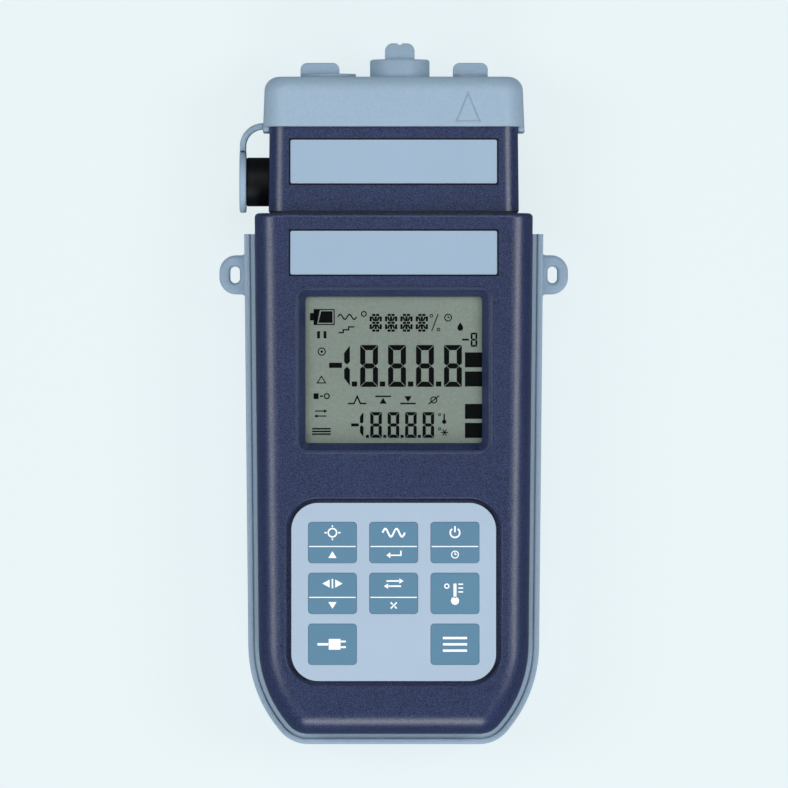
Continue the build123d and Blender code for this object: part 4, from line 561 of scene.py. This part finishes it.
class METER_OT_display(bpy.types.Operator):
    """Display glass, its window and all the dark marks on it"""
    bl_idname = "meter.display"
    bl_label = "Display"

    def execute(self, context):
        # Liquid crystal cell: grey-green reflector behind a brushed polariser
        screen = grained(
            "reflective_polariser", colours().screen, "#839087", 0.7 * MM, 0.004 * MM, 0.45,
            0.3, 0.7, 0.35, 0.03)[0]
        dress(screen, "lcd_panel")
        # Acrylic window: nearly all light goes through, with a faint sheen
        window, tree, shader, place = shader_for("clear_acrylic")
        haze = add_node(
            tree, "ShaderNodeTexNoise", {"Scale": 1 / (15 * MM), "Detail": 2.0}, {"Vector": place})
        dull = add_node(
            tree, "ShaderNodeMapRange", {"To Min": 0.04, "To Max": 0.12}, {"Value": haze.outputs["Fac"]})
        tree.links.new(dull.outputs[0], shader.inputs["Roughness"])
        shader.inputs["Base Color"].default_value = linear("#2A2E2D")
        shader.inputs["Alpha"].default_value = 0.04
        shader.inputs["Specular IOR Level"].default_value = 0.2
        shader.inputs["IOR"].default_value = 1.49
        dress(window, "display_window")
        # Moulded black frame round the cell
        dress(grained(
            "black_frame_plastic", "#0B0C0E", "#191B1E", 0.5 * MM, 0.03 * MM, 0.5)[0], "lcd_frame")
        # Switched segments: flat near-black dye
        ink = grained(
            "segment_dye", colours().segment, "#05070A", 0.6 * MM, 0.002 * MM, 0.8, gloss=0.05)[0]
        z = SCREEN_Z + 0.015 * MM
        pitch = sizes().digit_pitch
        pieces = []

        def place_marks(name, shapes, x=0.0, y=0.0):
            pieces.append(flat_marks(name, shapes, x, y, z, ink))

        def place_row(name, shapes, x, y, count, step):
            pieces.append(mark_row(name, shapes, x, y, z, ink, count, step))

        place_row(
            "large_digits", seven_segments(5.0, 11.7, 1.45, 0.1), -9.38, 1.85,
            sizes().digit_count, (pitch, 0))
        place_row("large_points", [bar(-0.76, 0, 0.76, 1.4)], -10.97, 1.95, 4, (7.84 * MM, 0))
        place_row(
            "small_digits", seven_segments(3.25, 7.2, 0.93, 0.08), -6.56, -12.4, 4, (4.87 * MM, 0))
        place_row("small_points", [bar(-0.44, 0, 0.44, 0.85)], -7.35, -12.4, 4, (4.84 * MM, 0))
        place_row(
            "letter_cells", sixteen_segments(3.43, 4.98, 0.62), -6.74, 17.27, 4, (4.295 * MM, 0))
        place_row("upper_blocks", [bar(0, -2.1, 4.9, 2.1)], 19.9, 9.4, 2, (0, -5.34 * MM))
        place_row("lower_blocks", [bar(0, -2.1, 4.9, 2.1)], 19.9, -5.0, 2, (0, -5.32 * MM))
        one = [
            [[(1.6, 11.5), (1.6, 7.0), (0.8, 6.2), (0, 6.9), (0, 9.4)]],
            [[(1.6, 0.3), (1.6, 4.8), (0.8, 5.6), (0, 4.9), (0, 2.4)]]]
        place_marks("large_one", one, -13.85, 1.9)
        place_marks("large_minus", [bar(-18.05, 7.15, -14.45, 8.6)])
        place_marks("small_one", moved(one, 0, 0, 0.62), -9.45, -12.3)
        place_marks("small_minus", [bar(-11.9, -9.2, -9.75, -8.35)])
        place_marks("exponent", [bar(19.1, 14.8, 21.05, 15.3)])
        place_marks("exponent_digit", seven_segments(1.85, 3.95, 0.52, 0.05), 21.5, 13.05)
        body = [
            bar(-22.4, 19.15, -16.5, 23.6) + bar(-21.5, 19.45, -16.8, 23.3),
            [[(-21.1, 19.75), (-17.1, 19.75), (-17.1, 23.0), (-20.3, 23.0)]],
            [[(-22.1, 19.3), (-21.4, 19.3), (-20.6, 23.45), (-22.1, 23.45)]]]
        place_marks("battery_sign", [*body, bar(-23.4, 20.4, -22.4, 22.5)])
        # Plain signs in the places of the small words
        lines = [stroke([(-2.6, y), (2.6, y)], 0.42) for y in (0.75, -0.75)]
        place_marks("sign_hold", [bar(-1.3, -1, -0.5, 1), bar(0.5, -1, 1.3, 1)], -20.1, 16.4)
        place_marks("sign_target", [ring(0, 0, 1.15, 0.85), disc(0, 0, 0.35)], -20.1, 11.7)
        place_marks("sign_delta", [
            [[(-1.4, -1.1), (1.4, -1.1), (0, 1.2)], [(-0.9, -0.8), (0.9, -0.8), (0, 0.65)]]],
            -20.2, 3.9)
        place_marks("sign_step", [
            bar(-2.2, -0.8, -0.8, 0.8), stroke([(-0.45, 0), (0.45, 0)], 0.4), ring(1.5, 0, 0.85, 0.5)],
            -20.2, -0.75)
        place_marks("sign_link", [
            stroke([(-1.6, 0.7), (1.0, 0.7)], 0.32), arrow(1.4, 0.7, 0.45, 0.5, 0),
            stroke([(1.6, -0.7), (-1.0, -0.7)], 0.32), arrow(-1.4, -0.7, 0.45, 0.5, 180)], -20.4, -5.6)
        place_marks("sign_list", [
            *moved(lines, 0.3, 0), stroke([(-2.3, 0), (2.9, 0)], 0.42)], -20.5, -10.6)
        place_marks("sign_peak", [
            stroke([(-2.6, -1), (-0.9, -1), (0, 1), (0.9, -1), (2.6, -1)], 0.4)], -10.2, -1.8)
        place_marks("sign_high", [
            stroke([(-2.2, 1.0), (2.2, 1.0)], 0.42), arrow(0, -0.2, 0.85, 1.0, 90)], -2.95, -1.8)
        place_marks("sign_low", [
            stroke([(-2.2, -1.0), (2.2, -1.0)], 0.42), arrow(0, 0.2, 0.85, 1.0, -90)], 4.0, -1.8)
        place_marks("sign_mean", [
            ring(0, 0, 1.0, 0.68), stroke([(-1.5, -1.2), (1.5, 1.2)], 0.32)], 11.2, -1.8)
        place_marks("sign_wave", [
            stroke(sine(0.7), 0.36)], -13.0, 21.4)
        place_marks("sign_steps", [
            stroke([(-2.2, -0.8), (-0.9, -0.8), (-0.9, 0), (0.6, 0), (0.6, 0.8), (2.2, 0.8)], 0.36)],
            -13.2, 17.8)
        place_marks("sign_degree", [ring(-8.35, 22.25, 0.82, 0.5)])
        place_marks("sign_share", [
            ring(-1.0, 1.9, 0.5, 0.25), ring(1.0, -1.9, 0.5, 0.25),
            stroke([(-0.9, -2.4), (0.9, 2.4)], 0.28)], 11.5, 19.8)
        place_marks("sign_time", [
            ring(0, 0, 1.1, 0.8), stroke([(0, 0.6), (0, 0), (0.5, 0)], 0.25)], 15.2, 21.2)
        place_marks("sign_drop", [
            [[(0, 1.3), (0.75, 0.1), (0.8, -0.5), (0.4, -1.05), (-0.4, -1.05), (-0.8, -0.5),
              (-0.75, 0.1)]]], 18.6, 18.6)
        place_marks("sign_warm", [
            ring(-0.9, 1.0, 0.42, 0.2), stroke([(0.4, -1.1), (0.4, 1.2)], 0.4), disc(0.4, -1.0, 0.6)],
            13.7, -6.9)
        place_marks("sign_cold", [
            ring(-0.9, 1.0, 0.42, 0.2),
            *[stroke([(0.5 - a, -b), (0.5 + a, b)], 0.28)
              for a, b in ((1, 0), (0.5, 0.87), (-0.5, 0.87))]], 13.7, -10.9)
        for piece in pieces:
            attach(piece, "root")
        return {"FINISHED"}


KEYS = (
    "key_up", "key_enter", "key_power", "key_down", "key_escape", "key_units", "key_serial",
    "key_menu")
# The keys with a thin line between an upper and a lower sign
SPLIT_KEYS = KEYS[:5]


def key_marks():
    """Outlines of each key's signs, in millimetres round the key's middle."""
    upper, lower = 2.75, -3.35
    circle = [ring(0, 0, 1.15, 0.8), bar(-1.9, -0.16, -1.3, 0.16), bar(1.3, -0.16, 1.9, 0.16),
              bar(-0.16, 1.3, 0.16, 1.75), bar(-0.16, -1.75, 0.16, -1.3)]
    wave = [stroke(sine(0.95), 0.42)]
    enter = [stroke([(2.0, 1.1), (2.0, -0.2), (-1.0, -0.2)], 0.4), arrow(-1.5, -0.2, 0.55, 0.85, 180)]
    power = [stroke(arc(0, 0, 1.15, 125, 415), 0.4), bar(-0.2, 0.1, 0.2, 1.6)]
    clock = [ring(0, 0, 1.1, 0.82), stroke([(0, 0.6), (0, 0), (0.5, 0)], 0.26)]
    relative = [arrow(-1.5, 0, 0.85, 0.95, 180), arrow(1.5, 0, 0.85, 0.95, 0),
                bar(-0.18, -1.1, 0.18, 1.1)]
    exchange = [stroke([(-1.7, 0.6), (1.4, 0.6)], 0.36), arrow(1.8, 0.6, 0.5, 0.62, 0),
                stroke([(1.7, -0.6), (-1.4, -0.6)], 0.36), arrow(-1.8, -0.6, 0.5, 0.62, 180)]
    cross = [stroke([(-0.85, -0.85), (0.85, 0.85)], 0.4),
             stroke([(-0.85, 0.85), (-0.28, 0.28)], 0.4), stroke([(0.28, -0.28), (0.85, -0.85)], 0.4)]
    bulb = [disc(0, -1.7, 0.95), stroke([(0, -1.0), (0, 2.3)], 0.7),
            *[bar(0.8, y, 1.9, y + 0.3) for y in (0.2, 1.1, 2.0)], ring(-1.9, 1.7, 0.62, 0.34)]
    plug = [bar(-0.9, -1.0, 1.3, 1.0), bar(1.25, 0.35, 2.3, 0.7), bar(1.25, -0.7, 2.3, -0.35),
            stroke([(-0.8, 0), (-3.0, 0)], 0.45)]
    menu = [bar(-2.6, y, 2.6, y + 0.5) for y in (1.1, -0.25, -1.6)]
    return {
        "key_up": moved(circle, 0, upper, 1.2) + moved([arrow(0, 0, 0.95, 1.15, 90)], 0, lower),
        "key_enter": moved(wave, 0, upper, 1.2) + moved(enter, 0, lower),
        "key_power": moved(power, 0, upper, 1.15) + moved(clock, 0, lower),
        "key_down": moved(relative, 0, upper, 1.2) + moved([arrow(0, 0, 0.95, 1.15, -90)], 0, lower),
        "key_escape": moved(exchange, 0, upper, 1.2) + moved(cross, 0, lower),
        "key_units": moved(bulb, 0, 0, 1.2), "key_serial": moved(plug, 0.3, 0, 1.5),
        "key_menu": moved(menu, 0, 0, 1.3),
    }


class METER_OT_keypad(bpy.types.Operator):
    """Overlay film, key tops, their signs and the thin lines across five keys"""
    bl_idname = "meter.keypad"
    bl_label = "Keypad"

    def execute(self, context):
        # Embossed polyester overlay: satin, with a fine lacquer texture
        film = grained(
            "lacquered_overlay", colours().overlay, "#A6B8CB", 0.4 * MM, 0.005 * MM, 0.4,
            0.3, 0.7, 0.4, 0.02)[0]
        dress(film, "keypad_overlay")
        tops = grained(
            "printed_key_film", colours().key, "#5A829C", 0.45 * MM, 0.008 * MM, 0.38,
            0.3, 0.7, 0.4, 0.02)[0]
        dress(tops, *KEYS)
        dress(grained("polyester_circuit", "#B9AF93", "#CFC7B0", 0.6 * MM, 0.01 * MM, 0.45)[0],
              "keypad_circuit", "keypad_spacer", "head_cable", "serial_leads")
        white = grained("legend_ink", colours().legend, "#F6F9FB", 0.4 * MM, 0.003 * MM, 0.5)[0]
        z = KEY_Z + sizes().mark_height / 2
        for name, shapes in key_marks().items():
            low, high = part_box(name)
            x, y = (low.x + high.x) / 2 / MM, (low.y + high.y) / 2 / MM
            signs = flat_marks(name + "_sign", shapes, x, y, z, white)
            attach(signs, name)
            if name not in SPLIT_KEYS:
                continue
            line = mark_row(
                name + "_line", [bar(-1.63, -0.14, 1.63, 0.14)], x - 4.86, y - 1.1, z, white, 4,
                (3.24 * MM, 0))
            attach(line, name)
        return {"FINISHED"}


class METER_OT_sockets(bpy.types.Operator):
    """Finish of the sockets, their contacts and collars"""
    bl_idname = "meter.sockets"
    bl_label = "Sockets"

    def execute(self, context):
        # Black nylon collar with a slight sheen
        nylon = grained("black_nylon", "#040508", "#0A0C10", 0.5 * MM, 0.02 * MM, 0.5, gloss=0.2)[0]
        dress(nylon, "serial_collar", "serial_insert", "din_insert", "power_jack")
        # Nickel plate over turned brass
        nickel = metal("turned_nickel_plate", "#C9C5BC", (1, 6, 1), 0.25)
        dress(nickel, "bnc_shell", "bnc_nut", "bnc_washer", "din_shell", "power_jack_pin")
        gold = metal("gold_plate", "#D8B062", (1, 6, 1), 0.22)
        dress(gold, "bnc_contact", "din_contacts", "serial_contacts")
        # PTFE: milky white and waxy
        dress(grained(
            "white_ptfe", "#DCDCD6", "#E8E8E2", 0.6 * MM, 0.01 * MM, 0.35)[0], "bnc_insulator")
        return {"FINISHED"}


class METER_OT_inside(bpy.types.Operator):
    """Finish of the boards, seals, screws, springs and cells inside"""
    bl_idname = "meter.inside"
    bl_label = "Inside"

    def execute(self, context):
        # Solder mask over copper tracks, drawn coarse so that it shows
        board, tree, shader, place = shader_for("solder_mask")
        tracks = add_node(
            tree, "ShaderNodeTexBrick",
            {"Color1": linear("#12532F"), "Color2": linear("#0F4A2A"), "Mortar": linear("#2C7A4A"),
             "Scale": 1 / (4 * MM), "Mortar Size": 0.05},
            {"Vector": place})
        relief = add_node(
            tree, "ShaderNodeBump", {"Strength": 0.4, "Distance": 0.03 * MM},
            {"Height": tracks.outputs["Fac"]})
        tree.links.new(tracks.outputs["Color"], shader.inputs["Base Color"])
        tree.links.new(relief.outputs["Normal"], shader.inputs["Normal"])
        shader.inputs["Roughness"].default_value = 0.35
        dress(board, "main_board", "socket_board")
        dress(grained("black_epoxy", "#121316", "#1F2125", 0.5 * MM, 0.02 * MM, 0.5)[0],
              "main_board_parts")
        # Soft black seals with a dusty bloom
        dress(grained("seal_rubber", "#101112", "#1B1C1E", 0.8 * MM, 0.02 * MM, 0.7)[0],
              "case_seal", "head_gasket", "battery_gasket", "zebra_strips")
        steel = metal("zinc_plated_steel", "#B4B6B8", (1, 1, 5), 0.3)
        dress(steel, "case_screws", "board_screws", "battery_cover_screw", "battery_springs",
              "battery_plates", "keypad_domes")
        dress(metal("turned_brass", "#B9924A", (1, 1, 6), 0.3), "case_inserts")
        # Shrunk film round each cell
        dress(grained("cell_film", "#17181B", "#24262A", 3 * MM, 0.01 * MM, 0.25, gloss=0.6)[0],
              "battery_1", "battery_2", "battery_3", "battery_4")
        return {"FINISHED"}


STEPS = (
    METER_OT_stage, METER_OT_case, METER_OT_rubber, METER_OT_plates, METER_OT_display,
    METER_OT_keypad, METER_OT_sockets, METER_OT_inside)


class METER_PT_panel(bpy.types.Panel):
    """Lists the meter's steps"""
    bl_idname = "METER_PT_panel"
    bl_label = "Portable pH meter"
    bl_space_type = "VIEW_3D"
    bl_region_type = "UI"
    bl_category = "Meter"

    def draw(self, context):
        for step in STEPS:
            self.layout.operator(step.bl_idname)


CLASSES = (MeterColours, MeterSizes, *STEPS, METER_PT_panel)


def register():
    for item in CLASSES:
        bpy.utils.register_class(item)
    bpy.types.Scene.meter_colours = PointerProperty(type=MeterColours)
    bpy.types.Scene.meter_sizes = PointerProperty(type=MeterSizes)


def unregister():
    del bpy.types.Scene.meter_sizes
    del bpy.types.Scene.meter_colours
    for item in reversed(CLASSES):
        bpy.utils.unregister_class(item)


def main():
    register()
    for step in STEPS:
        group, name = step.bl_idname.split(".")
        if getattr(getattr(bpy.ops, group), name)() != {"FINISHED"}:
            raise RuntimeError(step.bl_label + " didn't finish")


if __name__ == "__main__":
    main()
